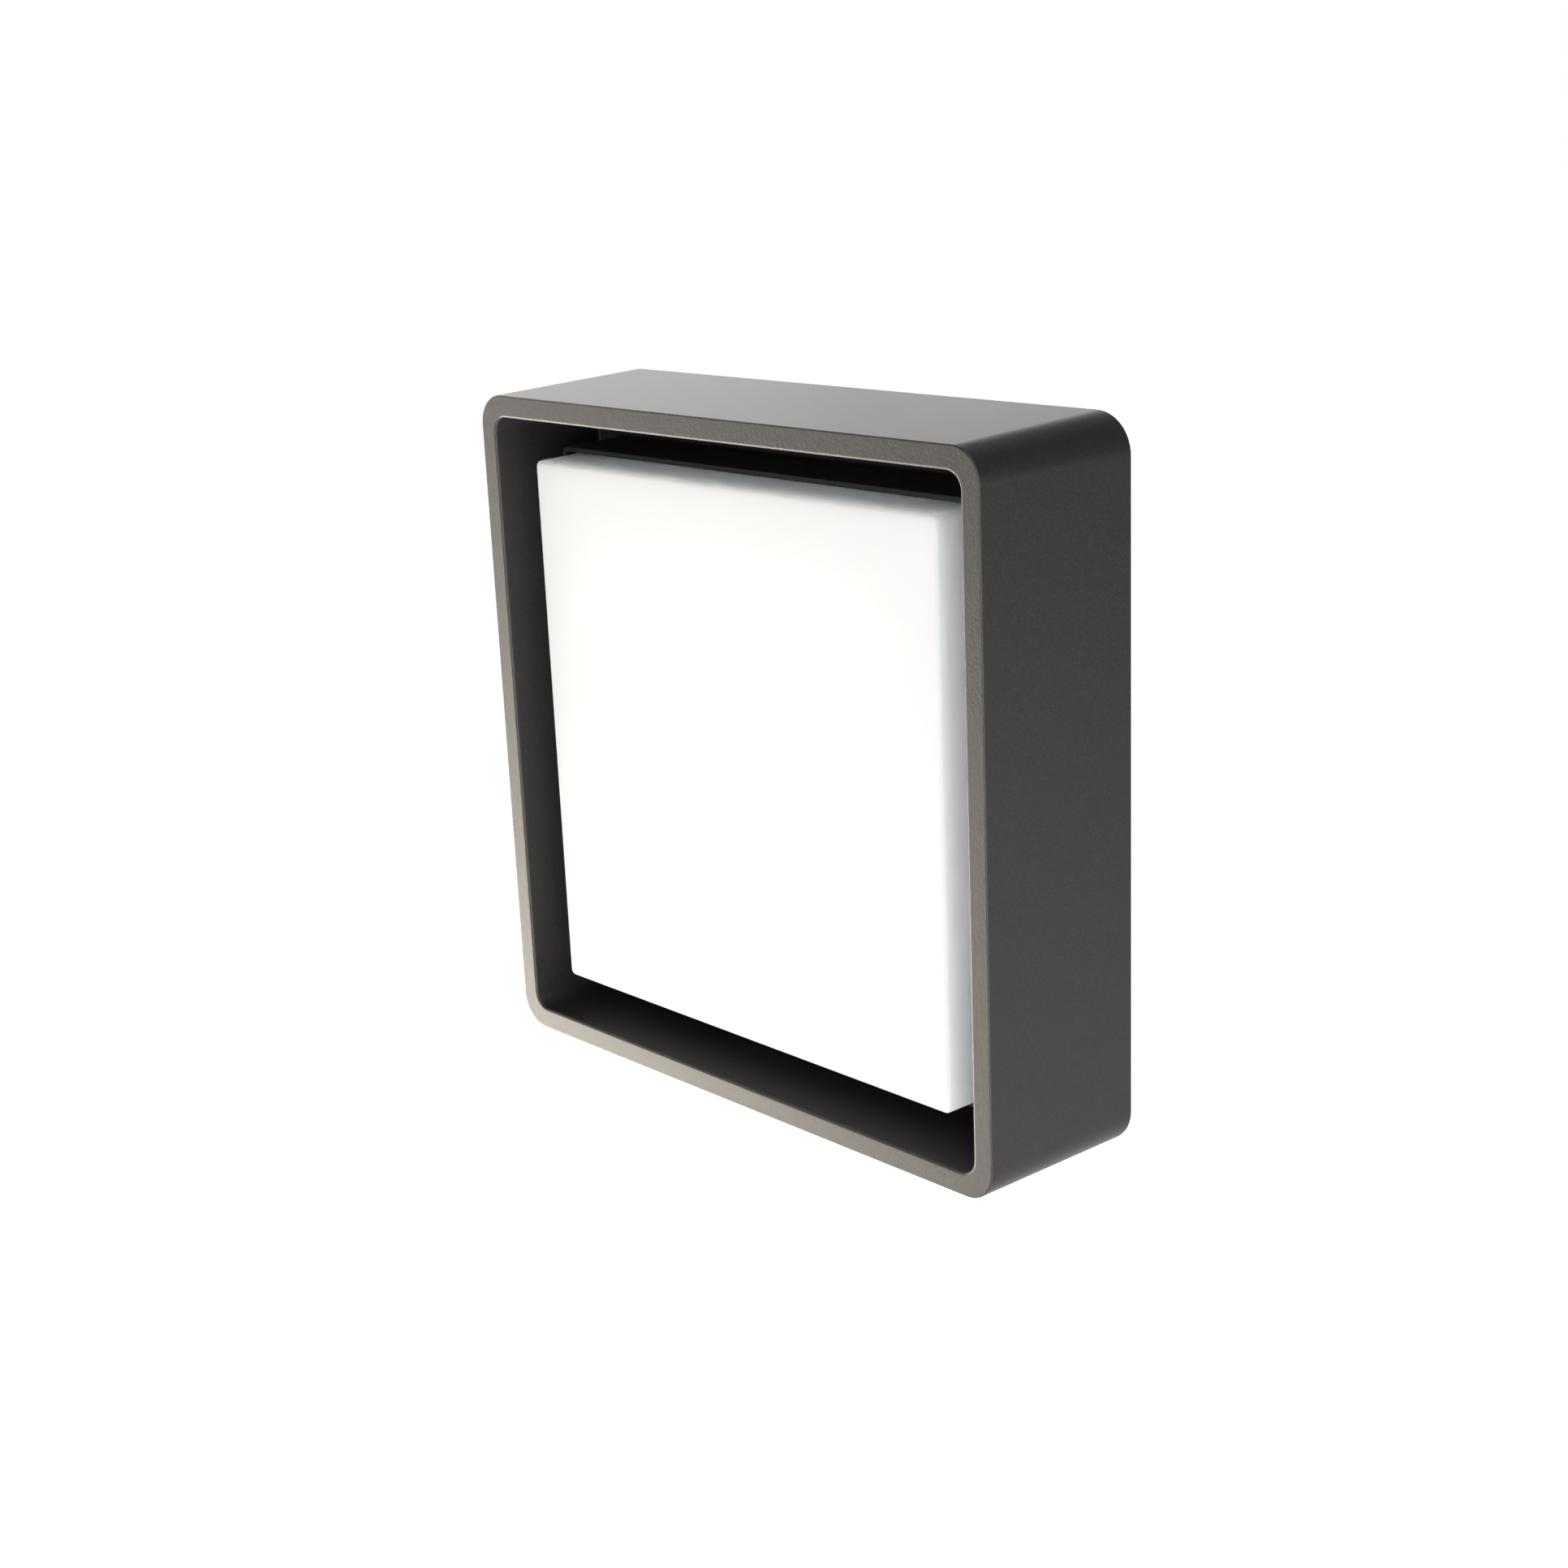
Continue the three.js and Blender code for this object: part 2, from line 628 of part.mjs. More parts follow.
function makeTerminalBlock() {
  const { x, z, width, height, back } = TERMINAL;
  const body = block(x, z, width, height, back, terminalFront);
  const pocket = BUTTON.size + 2 * GAP;
  const pocketFloor = back + BUTTON.sunk + BUTTON.travel + 2 * GAP;
  const cutters = [];
  for (const pole of poles) {
    cutters.push(upright(pole, TERMINAL_DEPTH, 2, z + height / 2 - 8, z + height / 2 + 1, 12));
    cutters.push(upright(pole, TERMINAL_DEPTH, LEAD_BORE, z - height / 2 - 1, z - height / 2 + 5, 12));
    cutters.push(block(pole, z, pocket, pocket, back - 1, pocketFloor));
  }
  return cutAll(body, cutters);
}

function makeButton() {
  const { size, proud, sunk } = BUTTON;
  const cap = block(0, 0, size, size, -proud, sunk);
  const groove = block(0, 0, 1, size - 2.4, -proud - 1, -proud + 0.7);
  return cap.subtract(groove);
}

function makeClamp() {
  const { x, z, reach, back, thickness } = CLAMP;
  const strap = block(x, z, 8, 2 * reach + 8, back, back + thickness);
  const ridge = block(x, z, 2, 10, back + thickness - 0.5, back + thickness + 1);
  const holes = [-1, 1].map((side) => bar(x, z + side * reach, M3_HOLE, back - 1, back + 5));
  return cutAll(strap.add(ridge), holes);
}

const lugFront = EARTH.boss - GAP;
const barrelLow = EARTH.z + 7;
const barrelHigh = barrelLow + 4;

function makeEarthLug() {
  const ring = bar(EARTH.x, EARTH.z, 4, lugFront - 0.8, lugFront);
  const tongue = block(EARTH.x, EARTH.z + 5.5, 3, 6, lugFront - 0.8, lugFront);
  const barrel = upright(EARTH.x, lugFront - 1.3, 1.5, barrelLow, barrelHigh, 12);
  const hole = bar(EARTH.x, EARTH.z, M4_HOLE, lugFront - 3, lugFront + 1);
  return joinAll([ring, tongue, barrel]).subtract(hole);
}

// ---- Leads ----

// A lead along hand-set points [x, w, z], with a round section of eight sides.
function makeLead(points) {
  const route = new THREE.CatmullRomCurve3(points.map(([x, w, z]) => new THREE.Vector3(x, -w, z)));
  const section = new THREE.Shape();
  for (let i = 0; i < 8; i += 1) {
    const turn = (i * Math.PI) / 4;
    const [u, v] = [LEAD_RADIUS * Math.cos(turn), LEAD_RADIUS * Math.sin(turn)];
    if (i === 0) section.moveTo(u, v);
    else section.lineTo(u, v);
  }
  const steps = Math.ceil(route.getLength() / (4.5 * LEAD_RADIUS));
  return solidFrom(new THREE.ExtrudeGeometry(section, { steps, bevelEnabled: false, extrudePath: route }));
}

const terminalLow = TERMINAL.z - TERMINAL.height / 2;
const driverTop = DRIVER.z + DRIVER.height / 2;
const driverLow = DRIVER.z - DRIVER.height / 2;
const connectorLow = CONNECTOR.z - CONNECTOR.height / 2;

// The live and neutral leads run from the terminal block down into the driver.
function supplyRoute(fromX, toX) {
  return [
    [fromX, TERMINAL_DEPTH, terminalLow + 4],
    [fromX, TERMINAL_DEPTH, terminalLow],
    [fromX, TERMINAL_DEPTH, terminalLow - 4],
    [(3 * fromX + toX) / 4, TERMINAL_DEPTH - 0.5, terminalLow - 8.5],
    [(fromX + 3 * toX) / 4, LEAD_DEPTH + 0.5, driverTop + 8.5],
    [toX, LEAD_DEPTH, driverTop + 4],
    [toX, LEAD_DEPTH, driverTop],
    [toX, LEAD_DEPTH, driverTop - 4],
  ];
}

// The two output leads run along the driver's lower side, through the deck and up to the board.
function outputRoute(fromX, entryX, runDepth) {
  return [
    [fromX, LEAD_DEPTH, driverLow + 4],
    [fromX, LEAD_DEPTH, driverLow],
    [fromX, LEAD_DEPTH, driverLow - 4],
    [fromX + 2, (LEAD_DEPTH + runDepth) / 2, driverLow - 9],
    [fromX + 8, runDepth, driverLow - 13],
    [(fromX + entryX) / 2, runDepth, DECK_ENTRY_Z],
    [entryX - 8, runDepth, DECK_ENTRY_Z],
    [entryX - 2.5, runDepth + 0.8, DECK_ENTRY_Z],
    [entryX - 0.4, runDepth + 3.2, DECK_ENTRY_Z],
    [entryX, DECK_BACK - 1, DECK_ENTRY_Z],
    [entryX, DECK_FRONT, DECK_ENTRY_Z],
    [entryX, DECK_FRONT + 2.6, DECK_ENTRY_Z + 0.2],
    [entryX, DECK_FRONT + 4.9, DECK_ENTRY_Z + 1.9],
    [entryX, DECK_FRONT + 5.6, DECK_ENTRY_Z + 5],
    [entryX, DECK_FRONT + 5.6, connectorLow - GAP],
  ];
}

const earthRoute = [
  [poles[2], TERMINAL_DEPTH, terminalLow + 4],
  [poles[2], TERMINAL_DEPTH, terminalLow],
  [poles[2] + 0.8, TERMINAL_DEPTH + 0.5, terminalLow - 3],
  [EARTH.x - 2, lugFront - 2.6, barrelHigh + 6],
  [EARTH.x, lugFront - 1.5, barrelHigh + 3],
  [EARTH.x, lugFront - 1.3, barrelHigh + GAP],
];

// ---- Assembly ----

const wallBase = new THREE.Group();
addPiece(wallBase, "mounting_plate", makePlate(), FINISH.galvanised);
const grooveBand = [GROOVE_INNER + GAP, GROOVE_OUTER - GAP, 4 + GAP, 6 - GAP];
addPiece(wallBase, "wall_gasket", squareBand(...grooveBand, 0, GROOVE_DEPTH - GAP), FINISH.blackRubber);
const ribBand = [RIB_HALF - RIB_WALL - 1, RIB_HALF + 1, 2, 6];
const ribSeal = squareBand(...ribBand, PLATE_THICKNESS + GAP, RIB_END - GAP);
addPiece(wallBase, "body_gasket", ribSeal, FINISH.silicone);
const cableGrommet = addPiece(wallBase, "cable_grommet", makeCableGrommet(), FINISH.blackRubber);
cableGrommet.position.set(-ENTRY_X, 0, ENTRY_Z);
const blankGrommet = addPiece(wallBase, "blank_grommet", makeBlankGrommet(), FINISH.blackRubber);
blankGrommet.position.set(ENTRY_X, 0, ENTRY_Z);

const lampBody = new THREE.Group();
addPiece(lampBody, "housing", makeHousing(), FINISH.powderCoat);
const footBand = [DIFFUSER_HALF - FOOT_WIDTH, DIFFUSER_HALF + 0.2, 1, 1.4];
const footSeal = squareBand(...footBand, DECK_FRONT + GAP, DIFFUSER_FOOT - GAP);
addPiece(lampBody, "diffuser_gasket", footSeal, FINISH.silicone);
const padWidth = 2 * PAD_HALF;
const pad = block(0, 0, padWidth, padWidth, DECK_FRONT + GAP, boardBack - GAP);
addPiece(lampBody, "thermal_pad", pad, FINISH.greyPad);
addPiece(lampBody, "led_board", makeBoard(), FINISH.boardWhite);
addPiece(lampBody, "reflector_sheet", makeReflector(), FINISH.film);
addPiece(lampBody, "board_connector", makeConnector(), FINISH.whitePlastic);
ledPlaces.forEach(([x, z], i) => {
  const led = addPiece(
    lampBody,
    `led_${String(i + 1).padStart(2, "0")}`,
    block(0, 0, LED_SIZE, LED_SIZE, 0, 0.8),
    FINISH.ledYellow,
  );
  led.position.set(x, -sheetBack, z);
});
addPiece(lampBody, "deck_grommet", makeDeckGrommet(), FINISH.blackRubber).position.set(0, 0, DECK_ENTRY_Z);

fourCorners(BOARD_SCREW).forEach(([x, z], i) => {
  const screw = makeScrew(2.9, 1.8, M3_SHANK, 6.2);
  const placed = addPiece(lampBody, `board_screw_${i + 1}`, screw, FINISH.zincSteel);
  placed.position.set(x, -(sheetFront + GAP), z);
});
// The diffuser's screws go in from the back of the deck, so their heads face the wall.
fourCorners(LUG_PLACE).forEach(([x, z], i) => {
  const screw = makeScrew(2.9, 1.8, M3_SHANK, 12);
  const placed = addPiece(lampBody, `diffuser_screw_${i + 1}`, screw, FINISH.zincSteel);
  placed.rotation.x = Math.PI;
  placed.position.set(x, -(DECK_BACK - GAP), z);
});
[-1, 1].forEach((side, i) => {
  const caseScrew = makeScrew(2.9, 1.8, M3_SHANK, 4.3);
  const held = addPiece(lampBody, `driver_screw_${i + 1}`, caseScrew, FINISH.zincSteel);
  held.rotation.x = Math.PI;
  held.position.set(side * (DRIVER.width / 2 + 5), -(caseFloor - GAP), DRIVER.z);
  const strapScrew = makeScrew(2.9, 1.8, M3_SHANK, 9.8);
  const pressed = addPiece(lampBody, `clamp_screw_${i + 1}`, strapScrew, FINISH.zincSteel);
  pressed.rotation.x = Math.PI;
  pressed.position.set(CLAMP.x, -(CLAMP.back - GAP), CLAMP.z + side * CLAMP.reach);
});
const earthScrew = addPiece(lampBody, "earth_screw", makeScrew(3.8, 2.2, M4_SHANK, 5.6), FINISH.zincSteel);
earthScrew.rotation.x = Math.PI;
earthScrew.position.set(EARTH.x, -(lugFront - 0.8 - GAP), EARTH.z);

addPiece(lampBody, "driver_case", makeDriverCase(), FINISH.whitePlastic);
addPiece(lampBody, "driver_lid", makeDriverLid(), FINISH.whitePlastic);
addPiece(lampBody, "driver_circuit_board", makeDriverBoard(), FINISH.boardGreen);
addPiece(lampBody, "transformer", makeTransformer(), FINISH.coreTape);
addPiece(lampBody, "input_capacitor", makeCapacitor(), FINISH.canBlack).position.set(34, 0, DRIVER.z);
addPiece(lampBody, "terminal_block", makeTerminalBlock(), FINISH.greyPlastic);
addPiece(lampBody, "cable_clamp", makeClamp(), FINISH.blackPlastic);
addPiece(lampBody, "earth_lug", makeEarthLug(), FINISH.zincSteel);
addPiece(lampBody, "live_lead", makeLead(supplyRoute(poles[0], liveX)), FINISH.brownLead);
addPiece(lampBody, "neutral_lead", makeLead(supplyRoute(poles[1], neutralX)), FINISH.blueLead);
addPiece(lampBody, "earth_lead", makeLead(earthRoute), FINISH.earthLead);
addPiece(lampBody, "plus_lead", makeLead(outputRoute(-liveX, -1.4, 25.5)), FINISH.redLead);
addPiece(lampBody, "minus_lead", makeLead(outputRoute(-neutralX, 1.4, 21.5)), FINISH.blackLead);

addPiece(lampBody, "diffuser", makeDiffuser(), FINISH.opal);
["live", "neutral", "earth"].forEach((name, i) => {
  const button = addPiece(lampBody, `terminal_button_${name}`, makeButton(), FINISH.orangePlastic);
  button.position.set(poles[i], -TERMINAL.back, TERMINAL.z);
});
const lockLength = LOCK_TRAVEL_END - PLATE_HALF - GAP;
["left", "right"].forEach((name, i) => {
  const screw = addPiece(lampBody, `lock_screw_${name}`, makeSetScrew(lockLength), FINISH.stainless);
  screw.position.set(i === 0 ? -LOCK_X : LOCK_X, -LOCK_DEPTH, -LOCK_TRAVEL_END);
});

const lantern = new THREE.Group();
lantern.add(wallBase, lampBody);
export default lantern;
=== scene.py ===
# %% [markdown]
# # A square outdoor wall lantern
# The lantern is a deep cast frame round a recessed opal cover, on a separate plate that is screwed to the
# wall. This lesson dresses a finished CAD model: the model says where each piece lies and how it moves, and
# Blender gives each piece its fine surface. Lengths are thought of in millimetres, as a maker would, and the
# depth of a thing is its distance from the wall, so a point at depth w lies at y = -w.

# %% Load the model that everything is built around
import math

import bmesh
import bpy
from mathutils import Matrix, Vector


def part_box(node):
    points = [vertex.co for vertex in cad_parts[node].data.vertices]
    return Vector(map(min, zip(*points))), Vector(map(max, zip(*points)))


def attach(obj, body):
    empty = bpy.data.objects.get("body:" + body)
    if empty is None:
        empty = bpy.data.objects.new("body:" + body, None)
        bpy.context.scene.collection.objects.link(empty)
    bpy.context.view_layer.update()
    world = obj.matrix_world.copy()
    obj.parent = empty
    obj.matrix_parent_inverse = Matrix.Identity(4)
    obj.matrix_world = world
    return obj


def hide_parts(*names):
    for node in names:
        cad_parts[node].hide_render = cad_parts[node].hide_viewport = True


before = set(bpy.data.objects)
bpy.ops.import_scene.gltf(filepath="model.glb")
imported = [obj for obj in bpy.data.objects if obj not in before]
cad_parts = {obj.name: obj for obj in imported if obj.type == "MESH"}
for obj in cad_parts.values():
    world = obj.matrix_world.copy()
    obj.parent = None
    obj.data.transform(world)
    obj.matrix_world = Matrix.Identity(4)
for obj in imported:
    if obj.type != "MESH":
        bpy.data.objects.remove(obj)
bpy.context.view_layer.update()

MM = 0.001

# %% [markdown]
# ## Small helpers
# Colours are easiest to name as the hex values of a colour picker, but Blender's shaders want linear light,
# so one function converts them. Node trees are built in code, so one function adds a node and sets its
# properties, and another fills or links the inputs of a node. Every tree below is made with them.

# %% Colours, nodes and objects


def linear(hex_colour):
    """The linear colour, with alpha 1, of a hex value from a colour picker."""
    channels = [int(hex_colour[i : i + 2], 16) / 255 for i in (1, 3, 5)]
    return [c / 12.92 if c <= 0.04045 else ((c + 0.055) / 1.055) ** 2.4 for c in channels] + [1.0]


def fill(node, inputs):
    """Fills inputs of a node, by name or number: a socket is linked and anything else is set as a value."""
    for key, value in inputs.items():
        if isinstance(value, bpy.types.NodeSocket):
            node.id_data.links.new(value, node.inputs[key])
        else:
            node.inputs[key].default_value = value


def add(tree, kind, inputs=None, **settings):
    """Adds a node of a kind, sets its properties and fills its inputs."""
    node = tree.nodes.new(kind)
    for name, value in settings.items():
        setattr(node, name, value)
    fill(node, inputs or {})
    return node


def linked(name, data):
    """A new object in the scene that shows a mesh, a curve, a light or a camera."""
    made = bpy.data.objects.new(name, data)
    bpy.context.scene.collection.objects.link(made)
    return made


print("linear middle grey:", round(linear("#808080")[0], 3))

# %% [markdown]
# ## Camera
# The lantern is seen from its right and a little from above, through a moderate telephoto lens, so that the
# near side of the frame looms over the far one. The camera comes early because the light is judged by it.

# %% Camera
CAMERA_PLACE = Vector((0.5561, -0.5489, 0.2133))
CAMERA_AZIMUTH = 47.32  # degrees, from looking straight along +Y
CAMERA_ELEVATION = 16.40  # degrees, looking down
CAMERA_ROLL = -2.43  # degrees, the small tilt of a hand-set tripod
LENS = 55.55  # millimetres, on a 36 mm sensor

camera_data = bpy.data.cameras.new("camera")
camera_data.lens = LENS
camera_data.sensor_width = 36
camera_data.clip_start = 0.01
camera = linked("camera", camera_data)
turn_down = Matrix.Rotation(math.radians(90 - CAMERA_ELEVATION), 4, "X")
turn_round = Matrix.Rotation(math.radians(CAMERA_AZIMUTH), 4, "Z")
turn_tilt = Matrix.Rotation(math.radians(CAMERA_ROLL), 4, "Z")
camera.matrix_world = Matrix.Translation(CAMERA_PLACE) @ turn_round @ turn_down @ turn_tilt
bpy.context.scene.camera = camera

# %% [markdown]
# ## Studio
# A dark, satin object is lit by what it mirrors. The strongest lights stand low on the left and graze the
# front: they give the rim its bright edge. The rest are faint and fill the cover, the top and the sides. The
# floor and the air behind are white to the camera, and give little light of their own, so that the channel
# round the cover stays dark.

# %% Studio floor and air
FLOOR_LEVEL = -1.0
FLOOR_HALF = 12.0
FLOOR_GLOW = 0.036  # what the floor gives off, beside the 1.0 that the camera sees
AIR_GLOW = 0.012


def glow_for_camera(tree, low, high):
    """A strength that is high where the camera looks and low for all other light."""
    seen = add(tree, "ShaderNodeLightPath").outputs["Is Camera Ray"]
    return add(tree, "ShaderNodeMapRange", {"Value": seen, "To Min": low, "To Max": high}).outputs[0]


floor_finish = bpy.data.materials.new("pale_floor")
floor_finish.use_nodes = True
floor_tree = floor_finish.node_tree
pale = {"Base Color": linear("#e7e7e7"), "Roughness": 0.9, "Emission Color": linear("#ffffff")}
floor_glow = glow_for_camera(floor_tree, FLOOR_GLOW, 1.0)
fill(floor_tree.nodes["Principled BSDF"], {**pale, "Emission Strength": floor_glow})
floor_mesh = bpy.data.meshes.new("floor")
floor_signs = ((-1, -1), (1, -1), (1, 1), (-1, 1))
floor_corners = [(x * FLOOR_HALF, y * FLOOR_HALF, FLOOR_LEVEL) for x, y in floor_signs]
floor_mesh.from_pydata(floor_corners, [], [(0, 1, 2, 3)])
floor_mesh.materials.append(floor_finish)
floor = linked("floor", floor_mesh)

world = bpy.data.worlds.new("studio")
world.use_nodes = True
air = {"Color": linear("#ffffff"), "Strength": glow_for_camera(world.node_tree, AIR_GLOW, 1.0)}
fill(world.node_tree.nodes["Background"], air)
bpy.context.scene.world = world
print("floor", FLOOR_LEVEL, "m from the lantern's middle")

# %% Studio lights
LIGHT_SIZE = 0.8
LIGHT_DISTANCE = 1.6
STUDIO_LIGHTS = [  # name, azimuth and elevation in degrees as for the camera, watts, colour
    ("low_left", -90, -15, 25, "#fff1dd"),
    ("under_left", -70, -36, 44, "#fff4e4"),
    ("left", -90, 12, 28, "#fff4e6"),
    ("low_right_front", 35, -12, 18, "#ffffff"),
    ("low_behind_left", -120, -15, 11, "#ffffff"),
    ("low_behind", -150, -15, 11, "#ffffff"),
    ("low_left_front", -60, -15, 8, "#fffaf2"),
    ("behind_far_left", -150, 12, 7.0, "#ffffff"),
    ("behind_left", -120, 12, 5.8, "#fffcf8"),
    ("high_left", -120, 40, 6.0, "#ffffff"),
    ("right", 90, -15, 2.0, "#fff8fa"),
    ("low_right_behind", 120, -15, 2.4, "#fff8fa"),
    ("behind", 180, 12, 2.1, "#ffffff"),
    ("high_behind", 180, 70, 3.1, "#ffffff"),
    ("high_front", 20, 35, 3.0, "#ffffff"),
    ("high_right_front", 60, 45, 6, "#fff4e4"),
    ("front", 0, 8, 5, "#ffffff"),
    ("under_right", 65, -36, 13, "#ffffff"),
    ("under_right_behind", 125, -40, 1.4, "#ffffff"),
]
for name, azimuth, elevation, watts, hex_colour in STUDIO_LIGHTS:
    data = bpy.data.lights.new(name, "AREA")
    data.shape = "SQUARE"
    data.size = LIGHT_SIZE
    data.energy = watts
    data.color = linear(hex_colour)[:3]
    turn = math.radians(azimuth)
    rise = math.radians(elevation)
    away = Vector((math.sin(turn) * math.cos(rise), -math.cos(turn) * math.cos(rise), math.sin(rise)))
    lamp = linked(name, data)
    lamp.location = away * LIGHT_DISTANCE
    lamp.rotation_euler = away.to_track_quat("Z", "Y").to_euler()
print(len(STUDIO_LIGHTS), "soft lights")

scene = bpy.context.scene
scene.view_settings.view_transform = "Standard"
scene.view_settings.look = "None"

# %% [markdown]
# ## A square lathe
# Almost every large piece of the lantern is the same idea: one section carried round a square with rounded
# corners, as a lathe carries it round an axis. The section is a strip of points, each with its half width,
# its depth and the radius that its corner has there. A Geometry Nodes tree lays a grid, one row for each
# point of the section and one column for each step round the square, and moves each point to its place.

# %% The square lathe as a Geometry Nodes tree
WELD = 1e-6  # metres, below which two points of a seam are one


def open_tree(name, inputs, output):
    """A new Geometry Nodes tree with inputs of the given types, and its input sockets by name."""
    tree = bpy.data.node_groups.new(name, "GeometryNodeTree")
    tree.is_modifier = True
    for socket, kind in inputs.items():
        tree.interface.new_socket(socket, in_out="INPUT", socket_type=f"NodeSocket{kind}")
    tree.interface.new_socket(output, in_out="OUTPUT", socket_type="NodeSocketGeometry")
    return tree, add(tree, "NodeGroupInput").outputs


def square_lathe_tree():
    inputs = {"Section": "Geometry", "Corner Steps": "Int", "Closed": "Int", "Finish": "Material"}
    tree, given = open_tree("square_lathe", inputs, "Piece")
    whole = "FunctionNodeIntegerMath"
    real = "ShaderNodeMath"

    # The grid: a row for each point of the section, one more if it closes, and columns round the square.
    counted = add(tree, "GeometryNodeAttributeDomainSize", {0: given["Section"]})
    rows = counted.outputs["Point Count"]
    all_rows = add(tree, whole, {0: rows, 1: given["Closed"]}, operation="ADD").outputs[0]
    per_corner = add(tree, whole, {0: given["Corner Steps"], 1: 1}, operation="ADD").outputs[0]
    columns = add(tree, whole, {0: per_corner, 1: 4}, operation="MULTIPLY").outputs[0]
    line = add(tree, whole, {0: columns, 1: 1}, operation="ADD").outputs[0]
    grid = add(tree, "GeometryNodeMeshGrid", {"Vertices X": all_rows, "Vertices Y": line}).outputs["Mesh"]

    # Which row, corner and step of the corner a grid point belongs to.
    index = add(tree, "GeometryNodeInputIndex").outputs[0]
    grid_row = add(tree, whole, {0: index, 1: line}, operation="DIVIDE_FLOOR").outputs[0]
    row = add(tree, whole, {0: grid_row, 1: rows}, operation="MODULO").outputs[0]
    grid_column = add(tree, whole, {0: index, 1: line}, operation="MODULO").outputs[0]
    column = add(tree, whole, {0: grid_column, 1: columns}, operation="MODULO").outputs[0]
    corner = add(tree, whole, {0: column, 1: per_corner}, operation="DIVIDE_FLOOR").outputs[0]
    step = add(tree, whole, {0: column, 1: per_corner}, operation="MODULO").outputs[0]
    part = add(tree, real, {0: step, 1: given["Corner Steps"]}, operation="DIVIDE").outputs[0]
    quarters = add(tree, real, {0: corner, 1: part}, operation="ADD").outputs[0]

    # The section's own position and corner radius, read at this row.
    place = add(tree, "GeometryNodeInputPosition").outputs[0]
    bend = add(tree, "GeometryNodeInputNamedAttribute", {"Name": "corner"}, data_type="FLOAT").outputs[0]
    at_row = {"Geometry": given["Section"], "Index": row}
    sample = "GeometryNodeSampleIndex"
    section = add(tree, sample, {**at_row, "Value": place}, data_type="FLOAT_VECTOR").outputs[0]
    radius = add(tree, sample, {**at_row, "Value": bend}, data_type="FLOAT").outputs[0]
    half, minus_depth, _ = add(tree, "ShaderNodeSeparateXYZ", {0: section}).outputs

    # Out along the diagonal to the corner's own centre, and from there round its arc.
    straight = add(tree, real, {0: half, 1: radius}, operation="SUBTRACT").outputs[0]
    reach = add(tree, real, {0: straight, 1: math.sqrt(2)}, operation="MULTIPLY").outputs[0]
    quarter = -math.pi / 2
    diagonal = add(
        tree, real, {0: corner, 1: quarter, 2: quarter / 2}, operation="MULTIPLY_ADD"
    ).outputs[0]
    turn = add(tree, real, {0: quarters, 1: quarter}, operation="MULTIPLY").outputs[0]
    spin = "ShaderNodeVectorRotate"
    out = add(tree, "ShaderNodeCombineXYZ", {0: reach, 1: minus_depth}).outputs[0]
    centre = add(tree, spin, {"Vector": out, "Angle": diagonal}, rotation_type="Y_AXIS").outputs[0]
    arm = add(tree, "ShaderNodeCombineXYZ", {0: radius}).outputs[0]
    arc = add(tree, spin, {"Vector": arm, "Angle": turn}, rotation_type="Y_AXIS").outputs[0]
    moved = add(tree, "ShaderNodeVectorMath", {0: centre, 1: arc}, operation="ADD").outputs[0]
    bent = add(tree, "GeometryNodeSetPosition", {"Geometry": grid, "Position": moved}).outputs[0]
    welded = add(tree, "GeometryNodeMergeByDistance", {"Geometry": bent, "Distance": WELD}).outputs[0]
    solid = add(tree, "GeometryNodeRealizeInstances", {"Geometry": welded}).outputs[0]
    done = add(tree, "GeometryNodeSetMaterial", {"Geometry": solid, "Material": given["Finish"]}).outputs[0]
    add(tree, "NodeGroupOutput", {"Piece": done})
    return tree


SQUARE_LATHE = square_lathe_tree()
print("square lathe tree:", len(SQUARE_LATHE.nodes), "nodes")

# %% [markdown]
# ## Rounded sections
# No real edge is sharp: a casting has a fillet wherever two faces meet, and that fillet is what catches the
# light. A section is therefore written as its corner points, each with the radius of its edge, and one
# function swaps each corner for an arc. It also adds a point just beside each arc. Those extra points keep
# the flat faces flat when the shading is smoothed across the arc.

# %% Sections with rounded edges
EDGE_HOLD = 0.25  # millimetres from the end of an arc to its holding point
LONGEST_HOLD = 0.49  # of the way to the next corner
LEAST_CORNER = 0.05  # millimetres
SHARP_EDGE = 32  # degrees, above which an edge stays sharp when the rest is smoothed


def rounded(section, closed=False, steps=5):
    """Swaps each point (half width, corner radius, depth, edge radius) for an arc. All in millimetres."""
    count = len(section)
    made = []
    for i, (half, corner, depth, edge) in enumerate(section):
        at_end = not closed and i in (0, count - 1)
        if edge == 0 or at_end:
            made.append((half, corner, depth))
            continue
        point = Vector((half, depth))
        before = Vector((section[i - 1][0], section[i - 1][2])) - point
        after = Vector((section[(i + 1) % count][0], section[(i + 1) % count][2])) - point
        most = [before.length * LONGEST_HOLD, after.length * LONGEST_HOLD]
        before.normalize()
        after.normalize()
        opening = before.angle(after)
        tangent = edge / math.tan(opening / 2)
        centre = point + (before + after).normalized() * edge / math.sin(opening / 2)
        start = point + before * tangent - centre
        sweep = start.angle_signed(point + after * tangent - centre)
        places = [point + before * min(tangent + EDGE_HOLD, most[0])]
        for k in range(steps + 1):
            places.append(centre + Matrix.Rotation(-sweep * k / steps, 2) @ start)
        places.append(point + after * min(tangent + EDGE_HOLD, most[1]))
        for place in places:
            made.append((place.x, max(corner + place.x - half, LEAST_CORNER), place.y))
    return made


def bake_modifiers(piece):
    """Turns what an object's modifiers make into its own plain mesh, and takes the modifiers off."""
    graph = bpy.context.evaluated_depsgraph_get()
    mesh = bpy.data.meshes.new_from_object(piece.evaluated_get(graph), depsgraph=graph)
    piece.modifiers.clear()
    piece.data = mesh
    mesh.name = piece.name
    return piece


def smooth(piece):
    """Smooth shading, but for the sharp edges."""
    piece.data.shade_smooth()
    piece.data.set_sharp_from_angle(angle=math.radians(SHARP_EDGE))
    return piece


